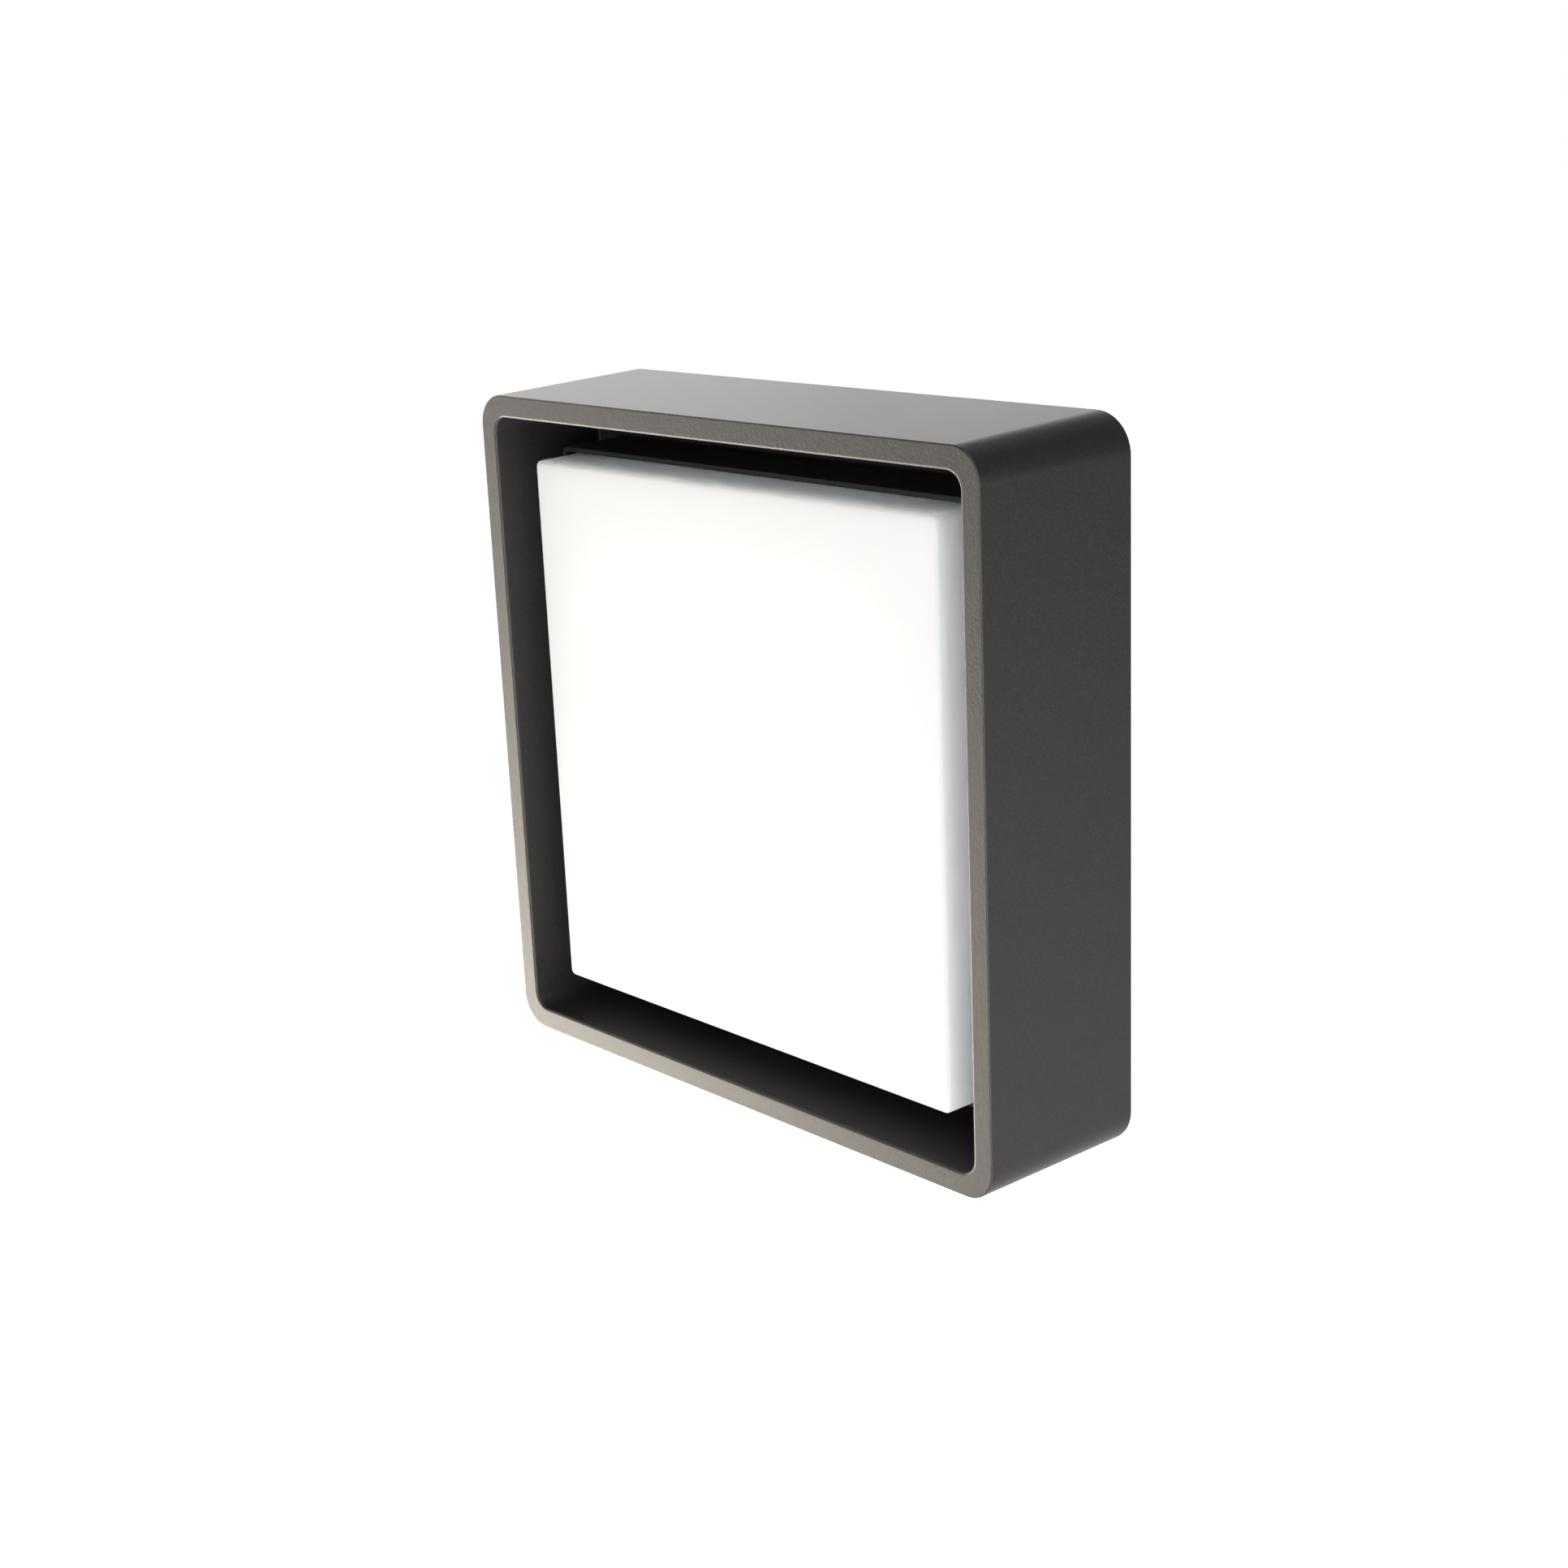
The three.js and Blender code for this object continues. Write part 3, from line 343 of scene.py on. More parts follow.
def run_tree(piece, tree, values):
    """Runs a Geometry Nodes tree on an object, its inputs set by name, and keeps the result as a mesh."""
    modifier = piece.modifiers.new(tree.name, "NODES")
    modifier.node_group = tree
    for item in tree.interface.items_tree:
        if item.name in values:
            modifier[item.identifier] = values[item.name]
    return bake_modifiers(piece)


def square_piece(name, section, finish, closed=False, corner_steps=14):
    """Carries a section round the rounded square and returns the plain, smoothly shaded piece."""
    mesh = bpy.data.meshes.new(name)
    mesh.from_pydata([(half * MM, -depth * MM, 0) for half, _, depth in section], [], [])
    bend = mesh.attributes.new("corner", "FLOAT", "POINT")
    bend.data.foreach_set("value", [corner * MM for _, corner, _ in section])
    piece = linked(name, mesh)
    run_tree(piece, SQUARE_LATHE, {"Corner Steps": corner_steps, "Closed": int(closed), "Finish": finish})
    return smooth(piece)


def place_piece(piece, body, slot, *nodes):
    """Hands a finished piece to the frame: the body it rides on and what it stands for. Its slot, the name of
    its finish, is not used.
    """
    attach(piece, body)
    if nodes:
        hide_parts(*nodes)
    print(piece.name, "rides on", body, "with", len(piece.data.polygons), "faces")


sample_corner = rounded([(0, 0, 1, 0), (1, 1, 1, 0.5), (1, 1, 0, 0)])
print("a rounded corner is written as", len(sample_corner) - 2, "points")

# %% [markdown]
# ## Blocks, turned pieces, cuts and copies
# Screws, bosses, cases and boards come from a few more forms. A block has all its edges rounded. A turned
# piece is the square lathe again, because a circle is a rounded square whose corner radius is its half width.
# Solids are joined and cut exactly, as a machinist would with a cutter. A second Geometry Nodes tree sets out
# copies of one prototype on a set of places, each turned by a seeded random angle: no two screws in a real
# lamp stop at the same angle.

# %% Blocks and turned pieces
ARC_STEPS = 3  # of the edges of blocks, turned pieces and seals


def block(x, z, width, height, back, front, edge=0.3):
    """A box between two depths with rounded edges. All in millimetres."""
    form = bmesh.new()
    bmesh.ops.create_cube(form, size=MM)
    bmesh.ops.scale(form, vec=(width, front - back, height), verts=form.verts)
    bmesh.ops.translate(form, vec=Vector((x, -(back + front) / 2, z)) * MM, verts=form.verts)
    mesh = bpy.data.meshes.new("block")
    form.to_mesh(mesh)
    form.free()
    piece = linked("block", mesh)
    if edge:
        rounding = piece.modifiers.new("edge", "BEVEL")
        rounding.width = edge * MM
        rounding.segments = ARC_STEPS
        bake_modifiers(piece)
    return piece


def turned(profile, closed=False, place=(0, 0), corner_steps=8):
    """A round piece about the depth axis, from points (radius, depth, edge radius) in millimetres."""
    section = rounded([(radius, radius, depth, edge) for radius, depth, edge in profile], closed, ARC_STEPS)
    piece = square_piece("turned", section, None, closed, corner_steps)
    piece.data.transform(Matrix.Translation(Vector((place[0], 0, place[1])) * MM))
    return piece


def bar(x, z, radius, back, front, edge=0.0, corner_steps=8):
    """A round bar along the depth, between two depths."""
    profile = [(0, front, 0), (radius, front, edge), (radius, back, edge), (0, back, 0)]
    return turned(profile, place=(x, z), corner_steps=corner_steps)


def upright(x, depth, radius, low, high):
    """A round bar that stands along Z, between two heights."""
    piece = bar(0, 0, radius, -(high - low) / 2, (high - low) / 2, corner_steps=6)
    piece.data.transform(Matrix.Rotation(math.pi / 2, 4, "X"))
    piece.data.transform(Matrix.Translation(Vector((x, -depth, (low + high) / 2)) * MM))
    return piece


def corners(reach):
    """The four places that are the same distance from the middle on both axes."""
    return [(-reach, -reach), (reach, -reach), (reach, reach), (-reach, reach)]


# %% Joining, cutting and finishing


def gathered(pieces):
    """One object that holds all the pieces."""
    first = pieces[0]
    chosen = {"object": first, "active_object": first, "selected_objects": pieces}
    with bpy.context.temp_override(**chosen, selected_editable_objects=pieces):
        bpy.ops.object.join()
    return first


def combined(piece, others, operation):
    """Unites other solids with a piece, or takes them away from it."""
    tool = gathered(others)
    change = piece.modifiers.new("combine", "BOOLEAN")
    change.operation = operation
    change.solver = "EXACT"
    change.use_self = True
    change.object = tool
    bake_modifiers(piece)
    bpy.data.objects.remove(tool)
    return piece


def finished(name, piece, finish):
    """Names a piece, gives it one finish and smooths it."""
    piece.name = name
    piece.data.name = name
    piece.data.materials.clear()
    piece.data.materials.append(finish)
    piece.data.polygons.foreach_set("material_index", [0] * len(piece.data.polygons))
    return smooth(piece)


# %% Setting out copies as a Geometry Nodes tree


def set_out_tree():
    sizes = {"Flip": "Float", "Most Turn": "Float", "Least Size": "Float", "Seed": "Int"}
    inputs = {"Places": "Geometry", "Prototype": "Object", **sizes, "Finish": "Material"}
    tree, given = open_tree("set_out", inputs, "Copies")
    shape = add(tree, "GeometryNodeObjectInfo", {"Object": given["Prototype"]}).outputs["Geometry"]
    chance = "FunctionNodeRandomValue"
    any_turn = {"Max": given["Most Turn"], "Seed": given["Seed"]}
    turn = add(tree, chance, any_turn, data_type="FLOAT").outputs[1]
    any_size = {"Min": given["Least Size"], "Max": 1.0, "Seed": given["Seed"]}
    size = add(tree, chance, any_size, data_type="FLOAT").outputs[1]
    tilt = add(tree, "ShaderNodeCombineXYZ", {0: given["Flip"], 1: turn}).outputs[0]
    each = {"Points": given["Places"], "Instance": shape, "Rotation": tilt, "Scale": size}
    copies = add(tree, "GeometryNodeInstanceOnPoints", each).outputs[0]
    real = add(tree, "GeometryNodeRealizeInstances", {"Geometry": copies}).outputs[0]
    done = add(tree, "GeometryNodeSetMaterial", {"Geometry": real, "Material": given["Finish"]}).outputs[0]
    add(tree, "NodeGroupOutput", {"Copies": done})
    return tree


SET_OUT = set_out_tree()


def set_out(name, prototype, places, finish, seed, most_turn=math.tau, flip=0.0, least_size=1.0):
    """Copies a prototype to places (x, depth, z) in millimetres, and removes the prototype."""
    mesh = bpy.data.meshes.new(name)
    mesh.from_pydata([(x * MM, -depth * MM, z * MM) for x, depth, z in places], [], [])
    values = {"Prototype": prototype, "Flip": flip, "Most Turn": most_turn, "Seed": seed}
    copies = run_tree(linked(name, mesh), SET_OUT, {**values, "Least Size": least_size, "Finish": finish})
    bpy.data.objects.remove(prototype)
    return smooth(copies)


print("set out tree:", len(SET_OUT.nodes), "nodes")

# %% [markdown]
# ## Powder coat
# The casting is aluminium, blasted and then powder coated in anthracite. The powder is sprayed on dry and
# melted into a skin about 0.08 mm thick. The fine-textured grade shrinks as it cures and is left with a
# close grain of soft bumps, a bit under a millimetre across, which breaks reflections into a satin sheen.
# It is a plastic skin, so it is not metallic: a dark base, a medium roughness and the grain as bump.

# %% Powder coat
GRAIN_WIDTH = 0.9  # millimetres across one soft bump
GRAIN_HEIGHT = 0.055
FINE_GRAIN_WIDTH = 0.35
FINE_SHARE = 0.3


def blank_material(name):
    """A new material, its tree, its Principled shader and the Object coordinates of what it is on."""
    material = bpy.data.materials.new(name)
    material.use_nodes = True
    tree = material.node_tree
    place = add(tree, "ShaderNodeTexCoord").outputs["Object"]
    return material, tree, tree.nodes["Principled BSDF"], place


def powder_coat():
    material, tree, shader, place = blank_material("anthracite_powder_coat")
    soft = {"Vector": place, "Scale": 1 / (GRAIN_WIDTH * MM), "Detail": 2.0, "Roughness": 0.45}
    grain = add(tree, "ShaderNodeTexNoise", soft).outputs[0]
    close = {"Vector": place, "Scale": 1 / (FINE_GRAIN_WIDTH * MM), "Detail": 1.0}
    fine = add(tree, "ShaderNodeTexNoise", close).outputs[0]
    both = {0: fine, 1: FINE_SHARE, 2: grain}
    blend = add(tree, "ShaderNodeMath", both, operation="MULTIPLY_ADD").outputs[0]
    bump = add(tree, "ShaderNodeBump", {"Height": blend, "Strength": 1.0, "Distance": GRAIN_HEIGHT * MM})
    shade = add(tree, "ShaderNodeMapRange", {"Value": grain, "From Min": 0.3, "From Max": 0.7}).outputs[0]
    shades = {"Factor": shade, "A": linear("#232222"), "B": linear("#2c2b2b")}
    colour = add(tree, "ShaderNodeMix", shades, data_type="RGBA").outputs["Result"]
    fill(shader, {"Base Color": colour, "Normal": bump.outputs[0], "Roughness": 0.48, "IOR": 1.5})
    return material


POWDER_COAT = powder_coat()
print(POWDER_COAT.name, "has", len(POWDER_COAT.node_tree.nodes), "nodes")

# %% [markdown]
# ## Opal cover
# The cover is injection moulded in opal polycarbonate: clear plastic with fine white particles in it that
# scatter light, so that the LEDs behind it can't be seen one by one. Light goes a few millimetres in and
# comes out beside where it entered, which softens every shadow on it. Subsurface scattering does the same.
# Nearly half of the light goes right through, wanders about in the white box behind and comes out at the
# sides: a translucent shader mixed in lets it, and is why the sides glow. The outside is spark eroded in the
# mould, which leaves a satin surface.

# %% Opal polycarbonate
SCATTER_DEPTH = 10.0  # millimetres
PASSES_THROUGH = 0.47  # the share of the light that goes right through
CLOUD_WIDTH = 40.0  # millimetres across one drift of colour
SPARK_WIDTH = 0.5  # millimetres across one crater of the spark eroded surface
SPARK_HEIGHT = 0.004


def opal_plastic():
    material, tree, shader, place = blank_material("opal_polycarbonate")
    cloudy = {"Vector": place, "Scale": 1 / (CLOUD_WIDTH * MM), "Detail": 2.0}
    cloud = add(tree, "ShaderNodeTexNoise", cloudy).outputs[0]
    tints = {"Factor": cloud, "A": linear("#f4f6f8"), "B": linear("#f8fafc")}
    tint = add(tree, "ShaderNodeMix", tints, data_type="RGBA").outputs["Result"]
    sparked = {"Vector": place, "Scale": 1 / (SPARK_WIDTH * MM), "Detail": 2.0}
    spark = add(tree, "ShaderNodeTexNoise", sparked).outputs[0]
    craters = {"Height": spark, "Strength": 1.0, "Distance": SPARK_HEIGHT * MM}
    bump = add(tree, "ShaderNodeBump", craters).outputs[0]
    fill(shader, {"Base Color": tint, "Normal": bump, "Roughness": 0.42, "IOR": 1.58})
    scatter = {"Weight": 0.8, "Radius": (1.0, 0.98, 0.95), "Scale": SCATTER_DEPTH * MM}
    fill(shader, {f"Subsurface {key}": value for key, value in scatter.items()})
    through = add(tree, "ShaderNodeBsdfTranslucent", {"Color": tint, "Normal": bump})
    both = {"Fac": PASSES_THROUGH, 1: shader.outputs[0], 2: through.outputs[0]}
    mixed = add(tree, "ShaderNodeMixShader", both)
    fill(tree.nodes["Material Output"], {"Surface": mixed.outputs[0]})
    return material


OPAL = opal_plastic()
print(OPAL.name, "has", len(OPAL.node_tree.nodes), "nodes")

# %% [markdown]
# ## Metals
# Hot-dip galvanised sheet shows spangle: crystals of zinc up to a centimetre across, each with its own
# brightness. Cells of a Voronoi texture stand for them. Zinc-plated and stainless screws are bright, with a
# fine cloud of handling marks, which is roughness more than colour. All of them are true metals.

# %% Galvanised sheet
SPANGLE = 7.0  # millimetres across one crystal
DULL_WIDTH = 1.5  # millimetres across one dull cloud on the crystals
CLOUD_SHARE = 0.35


def galvanised_sheet():
    material, tree, shader, place = blank_material("galvanised_steel")
    crystal = add(tree, "ShaderNodeTexVoronoi", {"Vector": place, "Scale": 1 / (SPANGLE * MM)}).outputs[1]
    bright = add(tree, "ShaderNodeSeparateColor", {0: crystal}).outputs[0]
    cloudy = {"Vector": place, "Scale": 1 / (DULL_WIDTH * MM), "Detail": 3.0}
    cloud = add(tree, "ShaderNodeTexNoise", cloudy).outputs[0]
    both = {0: cloud, 1: CLOUD_SHARE, 2: bright}
    blend = add(tree, "ShaderNodeMath", both, operation="MULTIPLY_ADD").outputs[0]
    shades = {"Factor": blend, "A": linear("#9da2a4"), "B": linear("#c3c7c8")}
    colour = add(tree, "ShaderNodeMix", shades, data_type="RGBA").outputs["Result"]
    rough = add(tree, "ShaderNodeMapRange", {"Value": blend, "To Min": 0.52, "To Max": 0.3}).outputs[0]
    fill(shader, {"Base Color": colour, "Roughness": rough, "Metallic": 1.0})
    return material


GALVANISED = galvanised_sheet()
print(GALVANISED.name, "has", len(GALVANISED.node_tree.nodes), "nodes")

# %% Bright metals
HANDLING_WIDTH = 2.2  # millimetres across one cloud of handling marks
TOOL_MARK_WIDTH = 0.12
TOOL_MARK_HEIGHT = 0.002


def bright_metal(name, dark, light, roughest):
    """A plated or turned metal with fine marks, between two colours."""
    material, tree, shader, place = blank_material(name)
    noise = "ShaderNodeTexNoise"
    clouded = {"Vector": place, "Scale": 1 / (HANDLING_WIDTH * MM), "Detail": 4.0}
    cloud = add(tree, noise, clouded).outputs[0]
    marked = {"Vector": place, "Scale": 1 / (TOOL_MARK_WIDTH * MM), "Detail": 2.0}
    marks = add(tree, noise, marked).outputs[0]
    shades = {"Factor": cloud, "A": linear(dark), "B": linear(light)}
    colour = add(tree, "ShaderNodeMix", shades, data_type="RGBA").outputs["Result"]
    spread = {"Value": cloud, "To Min": roughest, "To Max": roughest * 0.6}
    rough = add(tree, "ShaderNodeMapRange", spread).outputs[0]
    worn = {"Height": marks, "Strength": 1.0, "Distance": TOOL_MARK_HEIGHT * MM}
    bump = add(tree, "ShaderNodeBump", worn)
    metal = {"Base Color": colour, "Roughness": rough, "Normal": bump.outputs[0], "Metallic": 1.0}
    fill(shader, metal)
    return material


ZINC = bright_metal("zinc_plated_steel", "#b9bdc0", "#d6d8da", 0.38)
STAINLESS = bright_metal("stainless_steel", "#a9abad", "#c4c5c6", 0.32)
print("bright metals:", ZINC.name, "and", STAINLESS.name)

# %% [markdown]
# ## Moulded plastics and rubbers
# A moulded piece takes its surface from its mould, so all of them share one recipe: a colour that drifts a
# little across the piece, and a fine texture of the depth that the mould was sparked or blasted to. Rubber is
# rougher, silicone is translucent, and a thermal pad is a soft clay.

# %% Moulded plastics and rubbers
DRIFT_WIDTH = 14.0  # millimetres across one drift of colour


def moulded(name, dark, light, roughness, grain=0.4, height=0.006):
    """A moulded material between two colours, with a grain of a width and height in millimetres."""
    material, tree, shader, place = blank_material(name)
    noise = "ShaderNodeTexNoise"
    drifting = {"Vector": place, "Scale": 1 / (DRIFT_WIDTH * MM), "Detail": 3.0}
    drift = add(tree, noise, drifting).outputs[0]
    texture = add(tree, noise, {"Vector": place, "Scale": 1 / (grain * MM), "Detail": 2.0}).outputs[0]
    shades = {"Factor": drift, "A": linear(dark), "B": linear(light)}
    colour = add(tree, "ShaderNodeMix", shades, data_type="RGBA").outputs["Result"]
    bump = add(tree, "ShaderNodeBump", {"Height": texture, "Strength": 1.0, "Distance": height * MM})
    fill(shader, {"Base Color": colour, "Normal": bump.outputs[0], "Roughness": roughness})
    return material


RUBBER = moulded("black_rubber", "#161617", "#222223", 0.72, 0.5, 0.012)
SILICONE = moulded("white_silicone", "#cfcfc9", "#dcdcd6", 0.55, 0.6, 0.008)
milky = {"Subsurface Weight": 0.5, "Subsurface Radius": (1.0, 1.0, 0.95), "Subsurface Scale": 2 * MM}
fill(SILICONE.node_tree.nodes["Principled BSDF"], milky)
THERMAL_PAD = moulded("thermal_pad", "#858c8e", "#989ea0", 0.85, 0.25, 0.02)
WHITE_FILM = moulded("white_film", "#efefec", "#f8f8f6", 0.75, 0.15, 0.004)
WHITE_PLASTIC = moulded("white_plastic", "#deded9", "#eaeae6", 0.48)
GREY_PLASTIC = moulded("grey_plastic", "#92969a", "#a4a7a9", 0.5)
ORANGE_PLASTIC = moulded("orange_plastic", "#cf5f14", "#df7426", 0.42)
BLACK_PLASTIC = moulded("black_plastic", "#1f2021", "#2a2b2c", 0.5)
FERRITE = moulded("ferrite", "#2b2c2e", "#3a3b3d", 0.65, 0.3, 0.015)
print(len(bpy.data.materials), "materials so far")

# %% Lead insulation
PVC_GRAIN = 0.3
PVC_ROUGHNESS = 0.45
STRIPE_PITCH = 7.0
PVC_COLOURS = {
    "brown": ("#4d2f1a", "#5f3d25"),
    "blue": ("#1d549b", "#2a68b2"),
    "red": ("#a31d1b", "#b92b28"),
    "black": ("#19191a", "#242425"),
}


def earth_insulation():
    """Green with yellow stripes, which every earth lead has so that nobody mistakes it."""
    material, tree, shader, place = blank_material("earth_insulation")
    striped = {"Vector": place, "Scale": 1 / (STRIPE_PITCH * MM)}
    stripe = add(tree, "ShaderNodeTexWave", striped, bands_direction="X").outputs[1]
    edge = add(tree, "ShaderNodeMapRange", {"Value": stripe, "From Min": 0.45, "From Max": 0.55}).outputs[0]
    shades = {"Factor": edge, "A": linear("#2f7d32"), "B": linear("#e3cf2a")}
    colour = add(tree, "ShaderNodeMix", shades, data_type="RGBA").outputs["Result"]
    grain = add(tree, "ShaderNodeTexNoise", {"Vector": place, "Scale": 1 / (PVC_GRAIN * MM)}).outputs[0]
    bump = add(tree, "ShaderNodeBump", {"Height": grain, "Strength": 1.0, "Distance": 0.005 * MM})
    fill(shader, {"Base Color": colour, "Normal": bump.outputs[0], "Roughness": PVC_ROUGHNESS})
    return material


INSULATION = {
    colour: moulded(f"{colour}_insulation", dark, light, PVC_ROUGHNESS, PVC_GRAIN)
    for colour, (dark, light) in PVC_COLOURS.items()
}
INSULATION["earth"] = earth_insulation()
print("lead colours:", ", ".join(INSULATION))

# %% [markdown]
# ## Boards, LEDs and windings
# A circuit board is copper under a skin of solder mask. The tracks under the mask stand a few hundredths of
# a millimetre proud and show as lighter lines, here the joints of a pattern of very long bricks. An LED
# package is a white frame round a disc of yellow phosphor, which repeats at the pitch of the board. A winding
# is wrapped in yellow polyester tape, whose edges show as fine lines round it.

# %% Circuit boards
TRACK_WIDTH = 0.25
TRACK_RUN = 14  # pitches from one end of a track to the other


def solder_mask(name, mask, track, track_pitch):
    """Solder mask over tracks that lie a pitch apart, in millimetres."""
    material, tree, shader, place = blank_material(name)
    x, _, z = add(tree, "ShaderNodeSeparateXYZ", {0: place}).outputs
    flat = add(tree, "ShaderNodeCombineXYZ", {0: x, 1: z}).outputs[0]
    laid = {"Brick Width": track_pitch * TRACK_RUN * MM, "Row Height": track_pitch * MM}
    drawn = {"Mortar Size": TRACK_WIDTH * MM, "Mortar Smooth": 0.2}
    tracks = add(tree, "ShaderNodeTexBrick", {"Vector": flat, "Scale": 1.0, **drawn, **laid}).outputs["Fac"]
    shades = {"Factor": tracks, "A": linear(mask), "B": linear(track)}
    colour = add(tree, "ShaderNodeMix", shades, data_type="RGBA").outputs["Result"]
    bump = add(tree, "ShaderNodeBump", {"Height": tracks, "Strength": 1.0, "Distance": 0.03 * MM})
    fill(shader, {"Base Color": colour, "Normal": bump.outputs[0], "Roughness": 0.35})
    return material


BOARD_WHITE = solder_mask("white_solder_mask", "#eceeea", "#dfe1dc", 9.0)
BOARD_GREEN = solder_mask("green_solder_mask", "#265234", "#316340", 1.7)
print("boards:", BOARD_WHITE.name, "and", BOARD_GREEN.name)

# %% LED phosphor and winding tape
LED_PITCH = 36.0
PHOSPHOR_RADIUS = 1.75
PHOSPHOR_GRAIN = 0.25
TAPE_PITCH = 14.0
ANY_DEPTH = 1000.0  # metres: the pattern doesn't repeat along the depth


def led_package():
    """A disc of phosphor in a white frame, once for each cell of the board's pitch."""
    material, tree, shader, place = blank_material("led_phosphor")
    pitch = (LED_PITCH * MM, ANY_DEPTH, LED_PITCH * MM)
    middle = (LED_PITCH * MM / 2, 0, LED_PITCH * MM / 2)
    vector = "ShaderNodeVectorMath"
    cell = add(tree, vector, {0: place, 1: pitch, 2: (0, -ANY_DEPTH, 0)}, operation="WRAP").outputs[0]
    local = add(tree, vector, {0: cell, 1: middle}, operation="SUBTRACT").outputs[0]
    flat = add(tree, vector, {0: local, 1: (1, 0, 1)}, operation="MULTIPLY").outputs[0]
    away = add(tree, vector, {0: flat}, operation="LENGTH").outputs["Value"]
    rim = {"From Min": (PHOSPHOR_RADIUS - 0.1) * MM, "From Max": (PHOSPHOR_RADIUS + 0.1) * MM}
    frame_part = add(tree, "ShaderNodeMapRange", {"Value": away, **rim}).outputs[0]
    grains = {"Vector": place, "Scale": 1 / (PHOSPHOR_GRAIN * MM), "Detail": 2.0}
    grain = add(tree, "ShaderNodeTexNoise", grains).outputs[0]
    yellows = {"Factor": grain, "A": linear("#dcc54a"), "B": linear("#ecdc7c")}
    phosphor = add(tree, "ShaderNodeMix", yellows, data_type="RGBA").outputs["Result"]
    parts = {"Factor": frame_part, "A": phosphor, "B": linear("#f1f1ee")}
    colour = add(tree, "ShaderNodeMix", parts, data_type="RGBA").outputs["Result"]
    fill(shader, {"Base Color": colour, "Roughness": 0.3})
    return material


def winding_tape():
    """Yellow polyester tape, its turns one over the other."""
    material, tree, shader, place = blank_material("transformer_tape")
    turns = {"Vector": place, "Scale": 1 / (TAPE_PITCH * MM)}
    layers = add(tree, "ShaderNodeTexWave", turns, bands_direction="Y").outputs[1]
    shades = {"Factor": layers, "A": linear("#c99f26"), "B": linear("#e0ba45")}
    colour = add(tree, "ShaderNodeMix", shades, data_type="RGBA").outputs["Result"]
    bump = add(tree, "ShaderNodeBump", {"Height": layers, "Strength": 1.0, "Distance": 0.05 * MM})
    glossy = {"Normal": bump.outputs[0], "Roughness": 0.25, "Coat Weight": 0.4}
    fill(shader, {"Base Color": colour, **glossy})
    return material


LED_PACKAGE = led_package()
TAPE = winding_tape()
CAN = moulded("capacitor_can", "#1d1f24", "#282b31", 0.3, 1.2, 0.003)
print(len(bpy.data.materials), "materials")

# %% [markdown]
# ## The housing
# One pressure die casting makes the rim, the dark channel behind it, the collar that holds the cover and the
# deck for the LED board. Every face has a degree or more of draft so that the casting leaves its mould,
# which is why the lantern is a little wider at the wall than in front. The outside measures come from the
# CAD model's box; the inside ones follow from the wall thickness.

# %% Housing
housing_low, housing_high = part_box("housing")
RIM_FRONT = -housing_low.y / MM
BACK_EDGE = -housing_high.y / MM
BACK_HALF = housing_high.x / MM
DRAFT = math.tan(math.radians(1.8))
RIM_DRAFT = math.tan(math.radians(1.5))
COLLAR_DRAFT = math.tan(math.radians(1))
FRONT_HALF = BACK_HALF - (RIM_FRONT - BACK_EDGE) * DRAFT
OUTER_CORNER = 10.5
RIM_WIDTH = 7.3
RIM_CORNER = 5.5
CAST_WALL = 2.5
RIM_CROWN = 2.8
CHANNEL_FLOOR = 20.0
CHANNEL_SKIN = 3.0
COLLAR_FRONT = 44.7
COLLAR_HALF = 94.65
COLLAR_WALL = 1.7
COLLAR_CORNER = 3.0
DECK_FRONT = 36.0
DECK_BACK = 33.0
RIB_HALF = 101.0
RIB_WALL = 2.5
RIB_END = 6.0


def outer_point(depth, inset, edge):
    half = FRONT_HALF + (RIM_FRONT - depth) * DRAFT - inset
    return (half, OUTER_CORNER + half - FRONT_HALF, depth, edge)


def rim_point(depth, outset, edge):
    half = FRONT_HALF - RIM_WIDTH - (RIM_FRONT - depth) * RIM_DRAFT + outset
    return (half, RIM_CORNER + half - (FRONT_HALF - RIM_WIDTH), depth, edge)


def collar_half(depth):
    return COLLAR_HALF + (COLLAR_FRONT - depth) * COLLAR_DRAFT


crown_back = RIM_FRONT - RIM_CROWN
channel_back = CHANNEL_FLOOR - CHANNEL_SKIN
collar_inside = COLLAR_HALF - COLLAR_WALL
inner_corner = COLLAR_CORNER - COLLAR_WALL + 0.3
housing_section = rounded(
    [
        (0, 0, DECK_FRONT, 0),
        (collar_inside - 0.1, inner_corner, DECK_FRONT, 0.6),
        (collar_inside, inner_corner, COLLAR_FRONT, 0.3),
        (COLLAR_HALF, COLLAR_CORNER, COLLAR_FRONT, 0.4),
        (collar_half(CHANNEL_FLOOR), COLLAR_CORNER + 0.4, CHANNEL_FLOOR, 1.2),
        rim_point(CHANNEL_FLOOR, 0, 1.2),
        rim_point(RIM_FRONT, 0, 0.8),
        outer_point(RIM_FRONT, 0, 0.45),
        outer_point(BACK_EDGE, 0, 0.5),
        outer_point(BACK_EDGE, CAST_WALL, 0.4),
        outer_point(crown_back, CAST_WALL, 0.8),
        rim_point(crown_back, CAST_WALL, 0.8),
        rim_point(channel_back, CAST_WALL, 1.0),
        (RIB_HALF, 5, channel_back, 1.0),
        (RIB_HALF, 5, RIB_END, 0.4),
        (RIB_HALF - RIB_WALL, 3, RIB_END, 0.4),
        (RIB_HALF - RIB_WALL, 3, channel_back, 1.0),
        (collar_half(channel_back) - CAST_WALL, COLLAR_CORNER - 0.6, channel_back, 1.0),
        (collar_half(DECK_BACK) - CAST_WALL, COLLAR_CORNER - 0.8, DECK_BACK, 1.0),
        (0, 0, DECK_BACK, 0),
    ]
)
housing = square_piece("housing_shell", housing_section, POWDER_COAT)
print("casting carried round the square:", len(housing.data.polygons), "faces")

